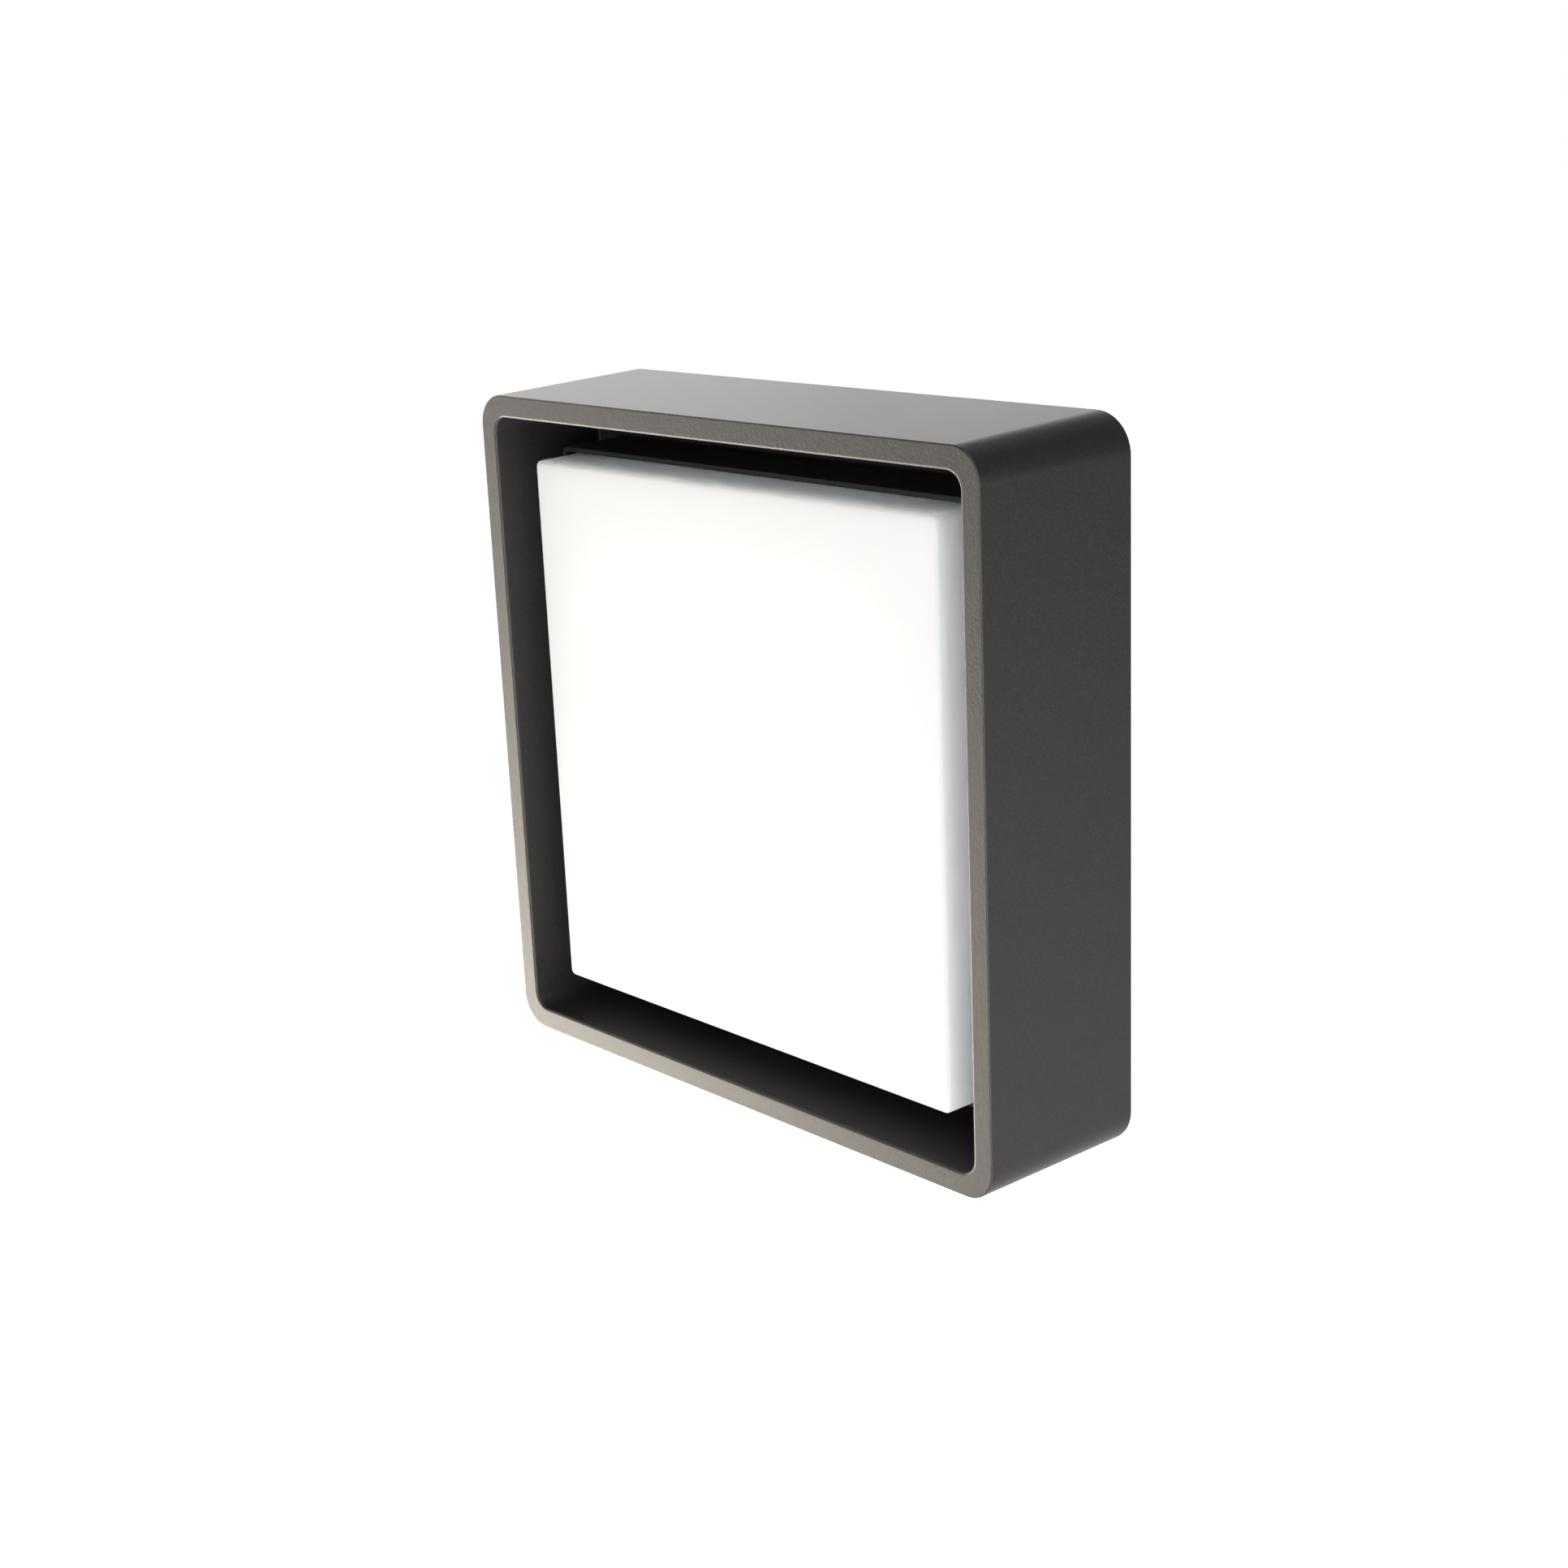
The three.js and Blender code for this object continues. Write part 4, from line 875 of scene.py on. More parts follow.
# %% [markdown]
# The casting also carries its fixings, which come from cores and cutters in the real mould: two bosses in the
# underside for the lock screws, four pads for the LED board, two posts for the cable clamp and one for the
# earth, and the holes that are drilled and tapped in them.

# %% Bosses, posts and holes of the housing
LOCK_X = 60.0
LOCK_DEPTH = 9.0
LUG_PLACE = 84.0
BOARD_SCREW = 66.0
DRIVER_X, DRIVER_Z = 60.0, -45.0
CLAMP_X, CLAMP_Z, CLAMP_REACH = 20.0, 42.0, 9.0
EARTH_X, EARTH_Z = 80.0, -20.0
DECK_ENTRY_Z = -81.0
M3_HOLE = 1.9
M4_HOLE = 2.3
BOSS_WIDTH = 10.0
BOSS_TOP = -109.3
PAD_RADIUS = 4.0
POST_RADIUS = 3.5
EARTH_RADIUS = 4.5
DECK_HOLE = 4.3

boss_low = CAST_WALL - BACK_HALF
boss = (BOSS_WIDTH, BOSS_TOP - boss_low, LOCK_DEPTH - BOSS_WIDTH / 2, LOCK_DEPTH + BOSS_WIDTH / 2)
additions = []
cutters = []
for x in (-LOCK_X, LOCK_X):
    additions.append(block(x, (BOSS_TOP + boss_low) / 2, *boss, edge=0.6))
    cutters.append(upright(x, LOCK_DEPTH, M4_HOLE, -118, -107.5))
for x, z in corners(BOARD_SCREW):
    additions.append(bar(x, z, PAD_RADIUS, DECK_FRONT - 0.5, DECK_FRONT + 1.3, edge=0.3))
    cutters.append(bar(x, z, M3_HOLE, DECK_BACK + 0.8, DECK_FRONT + 3))
for x, z in corners(LUG_PLACE):
    cutters.append(bar(x, z, M3_HOLE, DECK_BACK - 2, DECK_FRONT + 2))
for side in (-1, 1):
    cutters.append(bar(side * DRIVER_X, DRIVER_Z, M3_HOLE, DECK_BACK - 1, DECK_BACK + 2.3))
    post = (CLAMP_X, CLAMP_Z + side * CLAMP_REACH)
    additions.append(bar(*post, POST_RADIUS, 24.5, DECK_BACK + 0.5, edge=0.4))
    cutters.append(bar(*post, M3_HOLE, 23.5, DECK_BACK - 1.5))
additions.append(bar(EARTH_X, EARTH_Z, EARTH_RADIUS, 30, DECK_BACK + 0.5, edge=0.4))
cutters.append(bar(EARTH_X, EARTH_Z, M4_HOLE, 29, DECK_BACK + 1.8))
cutters.append(bar(0, DECK_ENTRY_Z, DECK_HOLE, DECK_BACK - 2, DECK_FRONT + 2))
combined(housing, additions, "UNION")
combined(housing, cutters, "DIFFERENCE")
finished("housing_shell", housing, POWDER_COAT)
place_piece(housing, "lamp_body", "powder_coat", "housing")

# %% [markdown]
# ## The cover
# The cover is a shallow box with a flat front, 2.5 mm thick. Its edges are only just broken, because a large
# radius would show as a dull line, and its corners are nearly square.

# %% Opal cover
cover_low, cover_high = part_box("diffuser")
COVER_FRONT = -cover_low.y / MM
COVER_FOOT = -cover_high.y / MM
COVER_HALF = 91.8
COVER_CORNER = 2.2
COVER_WALL = 2.5
FOOT_WIDTH = 5.0


def cover_half(depth):
    return COVER_HALF + (COVER_FRONT - depth) * COLLAR_DRAFT


foot_top = COVER_FOOT + 2.5
foot_inside = cover_half(COVER_FOOT) - FOOT_WIDTH
cover_back = COVER_FRONT - COVER_WALL
cover_section = rounded(
    [
        (0, 0, COVER_FRONT, 0),
        (COVER_HALF, COVER_CORNER, COVER_FRONT, 1.2),
        (cover_half(COVER_FOOT), COVER_CORNER, COVER_FOOT, 0.4),
        (foot_inside, 1, COVER_FOOT, 0.3),
        (foot_inside, 1, foot_top, 0.3),
        (cover_half(foot_top) - COVER_WALL, 1.2, foot_top, 0.3),
        (cover_half(cover_back) - COVER_WALL, 1.2, cover_back, 1.0),
        (0, 0, cover_back, 0),
    ]
)
cover = square_piece("opal_cover", cover_section, OPAL, corner_steps=10)
print("cover carried round the square:", len(cover.data.polygons), "faces")

# %% The cover's screw lugs
LUG_RADIUS = 4.5
LUG_FRONT = 48.0
WEB_WIDTH = 6.0
WEB_REACH = 3.4  # from the middle of a lug out to the middle of its web

lugs = []
lug_holes = []
for x, z in corners(LUG_PLACE):
    lugs.append(bar(x, z, LUG_RADIUS, COVER_FOOT, LUG_FRONT, edge=0.4))
    web_x = x + math.copysign(WEB_REACH, x)
    web_z = z + math.copysign(WEB_REACH, z)
    lugs.append(block(web_x, web_z, WEB_WIDTH, WEB_WIDTH, COVER_FOOT, LUG_FRONT, edge=0.3))
    lug_holes.append(bar(x, z, M3_HOLE, COVER_FOOT - 1, LUG_FRONT - 2))
combined(cover, lugs, "UNION")
combined(cover, lug_holes, "DIFFERENCE")
finished("opal_cover", cover, OPAL)
place_piece(cover, "diffuser_cover", "opal_polycarbonate", "diffuser")

# %% [markdown]
# ## The wall plate and its seals
# The plate is folded from galvanised sheet: a flange is turned up all round, a shallow groove is pressed in
# its back for the wall seal, and pads are pressed round the four screw slots. Two slots lie flat and two
# stand up, so that the plate can be levelled on any four plugs.

# %% Wall plate
PLATE = 2.5
PLATE_HALF = 108.5
FLANGE_FRONT = 13.0
FLANGE = 2.0
GROOVE_INSIDE = 97.0
GROOVE_OUTSIDE = 105.0
GROOVE_DEPTH = 1.2
PAD_SIZE = (24.0, 16.0)
PAD_DEPTHS = (2.0, 3.1)
SLOT_LENGTH = 14.0
SLOT_WIDTH = 5.2
PLATE_CUT = (-2.0, 5.0)  # the depths that a cutter for the plate spans
ENTRY_X, ENTRY_Z, ENTRY_RADIUS = 30.0, 45.0, 12.5
FIXING_X, FIXING_Z = 75.0, 60.0
plate_section = rounded(
    [
        (0, 0, PLATE, 0),
        (PLATE_HALF - FLANGE, 5.5, PLATE, 0.8),
        (PLATE_HALF - FLANGE, 5.5, FLANGE_FRONT, 0.3),
        (PLATE_HALF, 7.5, FLANGE_FRONT, 0.3),
        (PLATE_HALF, 7.5, 0, 1.6),
        (GROOVE_OUTSIDE, 6, 0, 0.3),
        (GROOVE_OUTSIDE, 6, GROOVE_DEPTH, 0.2),
        (GROOVE_INSIDE, 4, GROOVE_DEPTH, 0.2),
        (GROOVE_INSIDE, 4, 0, 0.3),
        (0, 0, 0, 0),
    ]
)
plate = square_piece("wall_plate", plate_section, GALVANISED, corner_steps=10)


def slot(x, z, standing):
    """A cutter with round ends for one screw slot."""
    straight = SLOT_LENGTH - SLOT_WIDTH
    along = (0, straight / 2) if standing else (straight / 2, 0)
    sides = (SLOT_WIDTH, straight) if standing else (straight, SLOT_WIDTH)
    places = [(x + side * along[0], z + side * along[1]) for side in (-1, 1)]
    ends = [bar(*place, SLOT_WIDTH / 2, *PLATE_CUT) for place in places]
    return [*ends, block(x, z, *sides, *PLATE_CUT, edge=0)]


pads = []
plate_cutters = []
for side in (-1, 1):
    pads.append(block(side * FIXING_X, FIXING_Z, *PAD_SIZE, *PAD_DEPTHS, edge=0.5))
    pads.append(block(side * FIXING_X, -FIXING_Z, *reversed(PAD_SIZE), *PAD_DEPTHS, edge=0.5))
    plate_cutters.append(bar(side * ENTRY_X, ENTRY_Z, ENTRY_RADIUS, *PLATE_CUT, corner_steps=12))
    plate_cutters += slot(side * FIXING_X, FIXING_Z, False)
    plate_cutters += slot(side * FIXING_X, -FIXING_Z, True)
combined(plate, pads, "UNION")
combined(plate, plate_cutters, "DIFFERENCE")
finished("wall_plate", plate, GALVANISED)
place_piece(plate, "wall_base", "galvanised_steel", "mounting_plate")

# %% Square seals
SEAL_EDGE = 0.35


def square_seal(name, inner, outer, back, front, finish):
    """A band between two half widths and two depths. Each row is (half width, corner radius)."""
    turns = ((inner, front), (outer, front), (outer, back), (inner, back))
    band = rounded([(*side, depth, SEAL_EDGE) for side, depth in turns], closed=True, steps=ARC_STEPS)
    return square_piece(name, band, finish, closed=True, corner_steps=8)


wall_seal = square_seal("wall_seal", (97.3, 4.3), (104.7, 5.7), 0, 0.9, RUBBER)
place_piece(wall_seal, "wall_base", "black_rubber", "wall_gasket")
rib_seal = square_seal("rib_seal", (97.5, 2), (102, 6), 2.8, 5.7, SILICONE)
place_piece(rib_seal, "wall_base", "white_silicone", "body_gasket")
cover_seal = square_seal("cover_seal", (86.8, 1), (92, 1.4), 36.3, 38, SILICONE)
place_piece(cover_seal, "lamp_body", "white_silicone", "diffuser_gasket")

# %% [markdown]
# ## Rubber cable entries
# The supply cable is pushed through a stepped cone, which is cut off at the step that grips the cable. The
# other entry has a closed membrane. Both snap into their holes by a groove round the neck.

# %% Cable entries
snap_edge = [(15.5, 4.8, 0.6), (15.5, 2.8, 0.3), (12.2, 2.8, 0.2), (12.2, 0.3, 0.3), (9.5, 0.3, 0.3)]
cone = [(3.5, 14, 0.4), (5.2, 14, 0.4), (6.1, 11.9, 0.3), (7.1, 11.5, 0.3), (8.0, 9.2, 0.3), (9.0, 8.8, 0.3)]
cone += [(9.9, 6.2, 0.4), (11, 4.8, 0.6), *snap_edge, (9.5, 2.8, 0.5), (3.5, 12.4, 0.3)]
cable_entry = turned(cone, closed=True, place=(-ENTRY_X, ENTRY_Z), corner_steps=12)
finished("cable_entry_cone", cable_entry, RUBBER)
place_piece(cable_entry, "wall_base", "black_rubber", "cable_grommet")

membrane = [(0, 3.6, 0), (2.5, 3.6, 0.2), (2.9, 4.0, 0.2), (3.6, 4.0, 0.2), (4.0, 3.6, 0.2), (6.2, 3.6, 0.2)]
membrane += [(6.6, 4.0, 0.2), (9, 4.0, 0.3), (10, 4.8, 0.4), *snap_edge, (9.5, 2.5, 0.4), (0, 2.5, 0)]
blank_entry = turned(membrane, place=(ENTRY_X, ENTRY_Z), corner_steps=12)
finished("blank_entry", blank_entry, RUBBER)
place_piece(blank_entry, "wall_base", "black_rubber", "blank_grommet")

deck_ring = [(2.7, 37.8, 0.4), (5, 37.8, 0.4), (5, 36.3, 0.2), (4, 36.3, 0.2), (4, 32.7, 0.2)]
deck_ring += [(5.2, 32.7, 0.2), (5.2, 31.2, 0.4), (2.7, 31.2, 0.4)]
deck_entry = turned(deck_ring, closed=True, place=(0, DECK_ENTRY_Z))
finished("deck_entry", deck_entry, RUBBER)
place_piece(deck_entry, "lamp_body", "black_rubber", "deck_grommet")

# %% [markdown]
# ## Screws
# Every M3 and M4 screw here is a pan head with a cross recess. The thread is cut as close ridges at its true
# pitch. One prototype of each length is made and set out by the tree, so a change to the prototype changes
# every screw.

# %% Screw prototypes


def threaded(radius, root, start, end, pitch):
    """The ridges of a thread, as points of a profile from one depth down to another."""
    count = int((start - end) / pitch)
    ridges = []
    for i in range(count):
        depth = start - i * pitch
        ridges += [(root, depth, 0), (radius, depth - 0.35 * pitch, 0), (radius, depth - 0.55 * pitch, 0)]
    return ridges


def pan_head(head, height, shank, length, pitch):
    """A screw whose head faces the front, with the underside of the head at depth 0."""
    root = shank * 0.8
    profile = [(0, height, 0), (head * 0.5, height, 0.3), (head * 0.85, height * 0.78, 0.4)]
    profile += [(head, height * 0.32, 0.2), (head, 0, 0.1), (root, 0, 0)]
    profile += threaded(shank, root, -0.6, 0.9 - length, pitch)
    profile += [(root, 0.8 - length, 0), (shank * 0.5, -length, 0), (0, -length, 0)]
    screw = turned(profile, corner_steps=6)
    wide = head * 1.1
    narrow = head * 0.26
    deep = (height * 0.45, height + 1)
    recess = [block(0, 0, wide, narrow, *deep, edge=0), block(0, 0, narrow, wide, *deep, edge=0)]
    return combined(screw, recess, "DIFFERENCE")


# %% Setting out the screws
M3 = (2.9, 1.8, 1.6)  # head radius, head height and shank radius
M3_PITCH = 0.5
M4 = (3.8, 2.2, 2.0)
M4_PITCH = 0.7
UNDER_DECK = 32.7  # the depth of what is fitted against the deck's back
FILM_SEAT = 40.4
EAR_SEAT = 30.4
STRAP_SEAT = 20.9
EARTH_SEAT = 28.6

deck_side = [(x, FILM_SEAT, z) for x, z in corners(BOARD_SCREW)]
board_screws = set_out("board_screws", pan_head(*M3, 6.2, M3_PITCH), deck_side, ZINC, seed=3)
place_piece(board_screws, "lamp_body", "zinc_plated_steel", *[f"board_screw_{i}" for i in range(1, 5)])
back_side = [(x, UNDER_DECK, z) for x, z in corners(LUG_PLACE)]
cover_screw = pan_head(*M3, 12, M3_PITCH)
cover_screws = set_out("cover_screws", cover_screw, back_side, ZINC, seed=5, flip=math.pi)
place_piece(cover_screws, "lamp_body", "zinc_plated_steel", *[f"diffuser_screw_{i}" for i in range(1, 5)])
ears = [(side * DRIVER_X, EAR_SEAT, DRIVER_Z) for side in (-1, 1)]
driver_screw = pan_head(*M3, 4.3, M3_PITCH)
driver_screws = set_out("driver_screws", driver_screw, ears, ZINC, seed=8, flip=math.pi)
place_piece(driver_screws, "lamp_body", "zinc_plated_steel", "driver_screw_1", "driver_screw_2")
straps = [(CLAMP_X, STRAP_SEAT, CLAMP_Z + side * CLAMP_REACH) for side in (-1, 1)]
clamp_screw = pan_head(*M3, 9.8, M3_PITCH)
clamp_screws = set_out("clamp_screws", clamp_screw, straps, ZINC, seed=11, flip=math.pi)
place_piece(clamp_screws, "lamp_body", "zinc_plated_steel", "clamp_screw_1", "clamp_screw_2")
earth_place = [(EARTH_X, EARTH_SEAT, EARTH_Z)]
m4_screw = pan_head(*M4, 5.6, M4_PITCH)
earth_screw = set_out("earth_point_screw", m4_screw, earth_place, ZINC, seed=13, flip=math.pi)
place_piece(earth_screw, "lamp_body", "zinc_plated_steel", "earth_screw")

# %% Lock screws
lock_low, lock_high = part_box("lock_screw_left")
LOCK_LENGTH = (lock_high.z - lock_low.z) / MM
for name, x in (("left", -LOCK_X), ("right", LOCK_X)):
    profile = [(0, 0, 0), (1.55, 0, 0), (2.0, -0.45, 0)]
    profile += threaded(2.0, 1.6, -0.5, 0.5 - LOCK_LENGTH, M4_PITCH)
    profile += [(1.6, 0.4 - LOCK_LENGTH, 0), (1.4, -LOCK_LENGTH, 0), (0, -LOCK_LENGTH, 0)]
    lock = turned(profile, corner_steps=6)
    socket = bar(0, 0, 1.15, -2, 1, corner_steps=1)
    combined(lock, [socket], "DIFFERENCE")
    lock.data.transform(Matrix.Rotation(math.pi / 2, 4, "X"))
    lock.data.transform(Matrix.Translation(Vector((x * MM, -LOCK_DEPTH * MM, lock_low.z))))
    finished(f"lock_screw_{name}_thread", lock, STAINLESS)
    place_piece(lock, f"{name}_lock_screw", "stainless_steel", f"lock_screw_{name}")

# %% [markdown]
# ## Light engine
# A soft pad carries the heat of an aluminium board into the casting. Sixteen LEDs stand on the board at an
# even pitch, so that their light overlaps on the cover. A white film with a hole for each LED hides the board
# and sends stray light forward again.

# %% Pad, board and film
BOARD_HALF = 74.0
BOARD_DEPTHS = (37.6, 39.2)
FILM_DEPTHS = (39.5, 40.1)
FILM_CUT = (38.0, 42.0)
PAD_WIDTH = 120.0
PAD_THICKNESS = (36.3, 37.3)  # from depth to depth
LED_WIDTH = 5.0
LED_HEIGHT = 0.8
LED_DEPTH = 39.5


def square_sheet(name, half, back, front, finish):
    """A thin sheet with rounded corners."""
    rows = [(0, 0, front, 0), (half, 3, front, 0.15), (half, 3, back, 0.15), (0, 0, back, 0)]
    return square_piece(name, rounded(rows), finish, corner_steps=8)


thermal = block(0, 0, PAD_WIDTH, PAD_WIDTH, *PAD_THICKNESS, edge=0.3)
finished("thermal_pad_sheet", thermal, THERMAL_PAD)
place_piece(thermal, "lamp_body", "thermal_pad", "thermal_pad")

board = square_sheet("led_circuit_board", BOARD_HALF, *BOARD_DEPTHS, BOARD_WHITE)
combined(board, [bar(x, z, M3_HOLE, 36, 41) for x, z in corners(BOARD_SCREW)], "DIFFERENCE")
finished("led_circuit_board", board, BOARD_WHITE)
place_piece(board, "lamp_body", "board_white", "led_board")

LED_STEPS = (-1.5, -0.5, 0.5, 1.5)  # pitches from the middle
LED_PLACES = [(x * LED_PITCH, LED_DEPTH, -z * LED_PITCH) for z in LED_STEPS for x in LED_STEPS]
led = block(0, 0, LED_WIDTH, LED_WIDTH, 0, LED_HEIGHT, edge=0.15)
combined(led, [bar(0, 0, PHOSPHOR_RADIUS, LED_HEIGHT - 0.2, 2)], "DIFFERENCE")
leds = set_out("leds", led, LED_PLACES, LED_PACKAGE, seed=1, most_turn=0.0)
place_piece(leds, "lamp_body", "led_phosphor", *[f"led_{i:02d}" for i in range(1, 17)])

# %% Film with a hole for each LED
FILM_HALF = BOARD_HALF + 1
FILM_HOLE = 4.4
NOTCH_WIDTH, NOTCH_HEIGHT = 16.0, 24.0  # for the connector, half of it past the film's edge
film = square_sheet("reflector_film", FILM_HALF, *FILM_DEPTHS, WHITE_FILM)
film_cutters = [bar(x, z, FILM_HOLE, *FILM_CUT) for x, _, z in LED_PLACES]
film_cutters += [bar(x, z, M3_HOLE, *FILM_CUT) for x, z in corners(BOARD_SCREW)]
film_cutters.append(block(0, -FILM_HALF, NOTCH_WIDTH, NOTCH_HEIGHT, *FILM_CUT, edge=0))
combined(film, film_cutters, "DIFFERENCE")
finished("reflector_film", film, WHITE_FILM)
place_piece(film, "lamp_body", "white_film", "reflector_sheet")

# %% Board connector
CONNECTOR_Z = -68.0
CONNECTOR_FRONT = 43.7
PAST_FRONT = 45.0
connector = block(0, CONNECTOR_Z, 12, 6, LED_DEPTH, CONNECTOR_FRONT, edge=0.3)
latch = (3, 2, CONNECTOR_FRONT - 0.8, PAST_FRONT)
connector_cuts = [block(side * 3, CONNECTOR_Z + 1, *latch, edge=0.1) for side in (-1, 1)]
connector_cuts.append(block(0, CONNECTOR_Z - 3.2, 3, 1.0, LED_DEPTH + 0.9, PAST_FRONT, edge=0))
combined(connector, connector_cuts, "DIFFERENCE")
finished("push_in_connector", connector, WHITE_PLASTIC)
place_piece(connector, "lamp_body", "white_plastic", "board_connector")

# %% [markdown]
# ## Driver
# The driver is a white moulded case, open towards the wall and closed by a lid. On its green board stand a
# transformer with a ferrite core, a capacitor, and small parts that the tree sets out in rows with a fixed
# seed. The leads enter through round notches in the long sides.

# %% Driver case
CASE_WIDTH, CASE_HEIGHT = 110.0, 44.0
CASE_BACK = 12.0
CASE_WALL = 2.0
CASE_FLOOR = 30.7
EAR_SPAN, EAR_HEIGHT = 130.0, 14.0
LEAD_HOLES = (40.0, 46.0)
LEAD_DEPTH = 22.0
LEAD_BORE = 1.4

case_hollow = (CASE_WIDTH - 2 * CASE_WALL, CASE_HEIGHT - 2 * CASE_WALL, 8, CASE_FLOOR)
case = block(0, DRIVER_Z, CASE_WIDTH, CASE_HEIGHT, CASE_BACK, UNDER_DECK, edge=1.0)
combined(case, [block(0, DRIVER_Z, EAR_SPAN, EAR_HEIGHT, CASE_FLOOR, UNDER_DECK, edge=0.6)], "UNION")
combined(case, [block(0, DRIVER_Z, *case_hollow, edge=0.8)], "DIFFERENCE")
case_cuts = [bar(side * DRIVER_X, DRIVER_Z, M3_HOLE, 29, 34) for side in (-1, 1)]
for side in (-1, 1):
    edge_z = DRIVER_Z + side * CASE_HEIGHT / 2
    case_cuts += [upright(side * x, LEAD_DEPTH, LEAD_BORE, edge_z - 3, edge_z + 3) for x in LEAD_HOLES]
combined(case, case_cuts, "DIFFERENCE")
ledge_places = [(x, DRIVER_Z + z) for x in (-51, 51) for z in (-18, 18)]
ledges = [block(x, z, 5, 5, CASE_FLOOR - 0.8, CASE_FLOOR + 0.5, edge=0.2) for x, z in ledge_places]
combined(case, ledges, "UNION")
finished("driver_housing", case, WHITE_PLASTIC)
place_piece(case, "lamp_body", "white_plastic", "driver_case")

# %% Driver lid
LID_BACK, LID_FRONT = 10.0, 11.7
SKIRT_FRONT = 13.7
SKIRT_WALL = 1.5
SKIRT_WIDTH, SKIRT_HEIGHT = 105.4, 39.4
hollow = (SKIRT_WIDTH - 2 * SKIRT_WALL, SKIRT_HEIGHT - 2 * SKIRT_WALL, LID_FRONT, 15)
lid = block(0, DRIVER_Z, CASE_WIDTH, CASE_HEIGHT, LID_BACK, LID_FRONT, edge=0.5)
skirt = block(0, DRIVER_Z, SKIRT_WIDTH, SKIRT_HEIGHT, LID_FRONT - 0.5, SKIRT_FRONT, edge=0.3)
combined(lid, [skirt], "UNION")
lid_hollow = block(0, DRIVER_Z, *hollow, edge=0.3)
lid_panel = block(0, DRIVER_Z, 84, 26, LID_BACK - 1, LID_BACK + 0.25, edge=0.2)
combined(lid, [lid_hollow, lid_panel], "DIFFERENCE")
finished("driver_cover", lid, WHITE_PLASTIC)
place_piece(lid, "lamp_body", "white_plastic", "driver_lid")

# %% Driver board and its parts
driver_board = block(0, DRIVER_Z, 105, 39, 28, 29.6, edge=0.1)
board_notches = [bar(x, DRIVER_Z + z, 1.5, 27, 31) for x in (-48, 48) for z in (-15, 15)]
combined(driver_board, board_notches, "DIFFERENCE")
finished("driver_board", driver_board, BOARD_GREEN)
place_piece(driver_board, "lamp_body", "board_green", "driver_circuit_board")

CHIP_COLUMNS = range(-46, -8, 6)
CHIP_ROWS = (-13, -6.5, 0, 6.5, 13)
CHIP_FOOT = 27.9
chip = block(0, 0, 3.2, 1.8, 0, 1.1, edge=0.12)
combined(chip, [block(0, 0, 1.4, 2.4, 0.85, 2, edge=0)], "DIFFERENCE")
chip_places = [(x, CHIP_FOOT, DRIVER_Z + z) for x in CHIP_COLUMNS for z in CHIP_ROWS]
spread = {"most_turn": 0.3, "flip": math.pi, "least_size": 0.6}
chips = set_out("driver_chips", chip, chip_places, BLACK_PLASTIC, seed=17, **spread)
place_piece(chips, "lamp_body", "black_plastic")

# %% Transformer and capacitor
TRANSFORMER_X = 8.0
CAPACITOR_X = 34.0
feet = 27.7  # the depth where the parts stand on their board
winding = block(TRANSFORMER_X, DRIVER_Z, 24, 16, feet - 10.5, feet - 2.5, edge=1.2)
finished("transformer_winding", winding, TAPE)
place_piece(winding, "lamp_body", "transformer_tape", "transformer")
core = block(TRANSFORMER_X, DRIVER_Z, 20, 24, feet - 12, feet - 2.5, edge=0.5)
combined(core, [block(TRANSFORMER_X, DRIVER_Z, 22, 15.8, feet - 10.4, feet - 2, edge=0.2)], "DIFFERENCE")
combined(core, [block(TRANSFORMER_X, DRIVER_Z, 24, 22, feet - 3, feet, edge=0.4)], "UNION")
finished("transformer_core", core, FERRITE)
place_piece(core, "lamp_body", "transformer_tape", "transformer")

can_foot = [(0, feet, 0), (4.6, feet, 0.3), (5, feet - 0.9, 0.3)]
can_bead = [(5, feet - 2.0, 0.2), (4.6, feet - 2.5, 0.2), (5, feet - 3.0, 0.2)]
can_end = [(5, feet - 12.6, 0.6), (4.1, feet - 12.6, 0.1), (4.0, feet - 12.3, 0.1), (0, feet - 12.3, 0)]
can_profile = can_foot + can_bead + can_end
capacitor = turned(can_profile, place=(CAPACITOR_X, DRIVER_Z), corner_steps=10)
finished("capacitor_sleeve", capacitor, CAN)
place_piece(capacitor, "lamp_body", "capacitor_can", "input_capacitor")

# %% [markdown]
# ## Terminals, clamp and earth point
# The supply wires push into sprung terminals: pressing an orange button with a screwdriver opens the spring
# under it. A strap holds the cable's jacket, so that a pull on the cable never reaches the terminals.

# %% Terminal block
POLES = (52.0, 62.0, 72.0)
TERMINAL_Z = 12.0
TERMINAL_WIDTH, TERMINAL_HEIGHT = 32.0, 18.0
WIRE_DEPTH = 24.0
terminal = block(POLES[1], TERMINAL_Z, TERMINAL_WIDTH, TERMINAL_HEIGHT, 16.7, UNDER_DECK, edge=0.5)
terminal_cuts = []
for pole in POLES:
    terminal_cuts.append(upright(pole, WIRE_DEPTH, 2.0, TERMINAL_Z + 1, TERMINAL_Z + 10))
    terminal_cuts.append(upright(pole, WIRE_DEPTH, LEAD_BORE, TERMINAL_Z - 10, TERMINAL_Z - 4))
    terminal_cuts.append(block(pole, TERMINAL_Z, 6.6, 6.6, 15, 21.3, edge=0.1))
for pole in (57.0, 67.0):
    terminal_cuts.append(block(pole, TERMINAL_Z, 0.6, 20, 15, 17.3, edge=0))
combined(terminal, terminal_cuts, "DIFFERENCE")
finished("terminal_housing", terminal, GREY_PLASTIC)
place_piece(terminal, "lamp_body", "grey_plastic", "terminal_block")

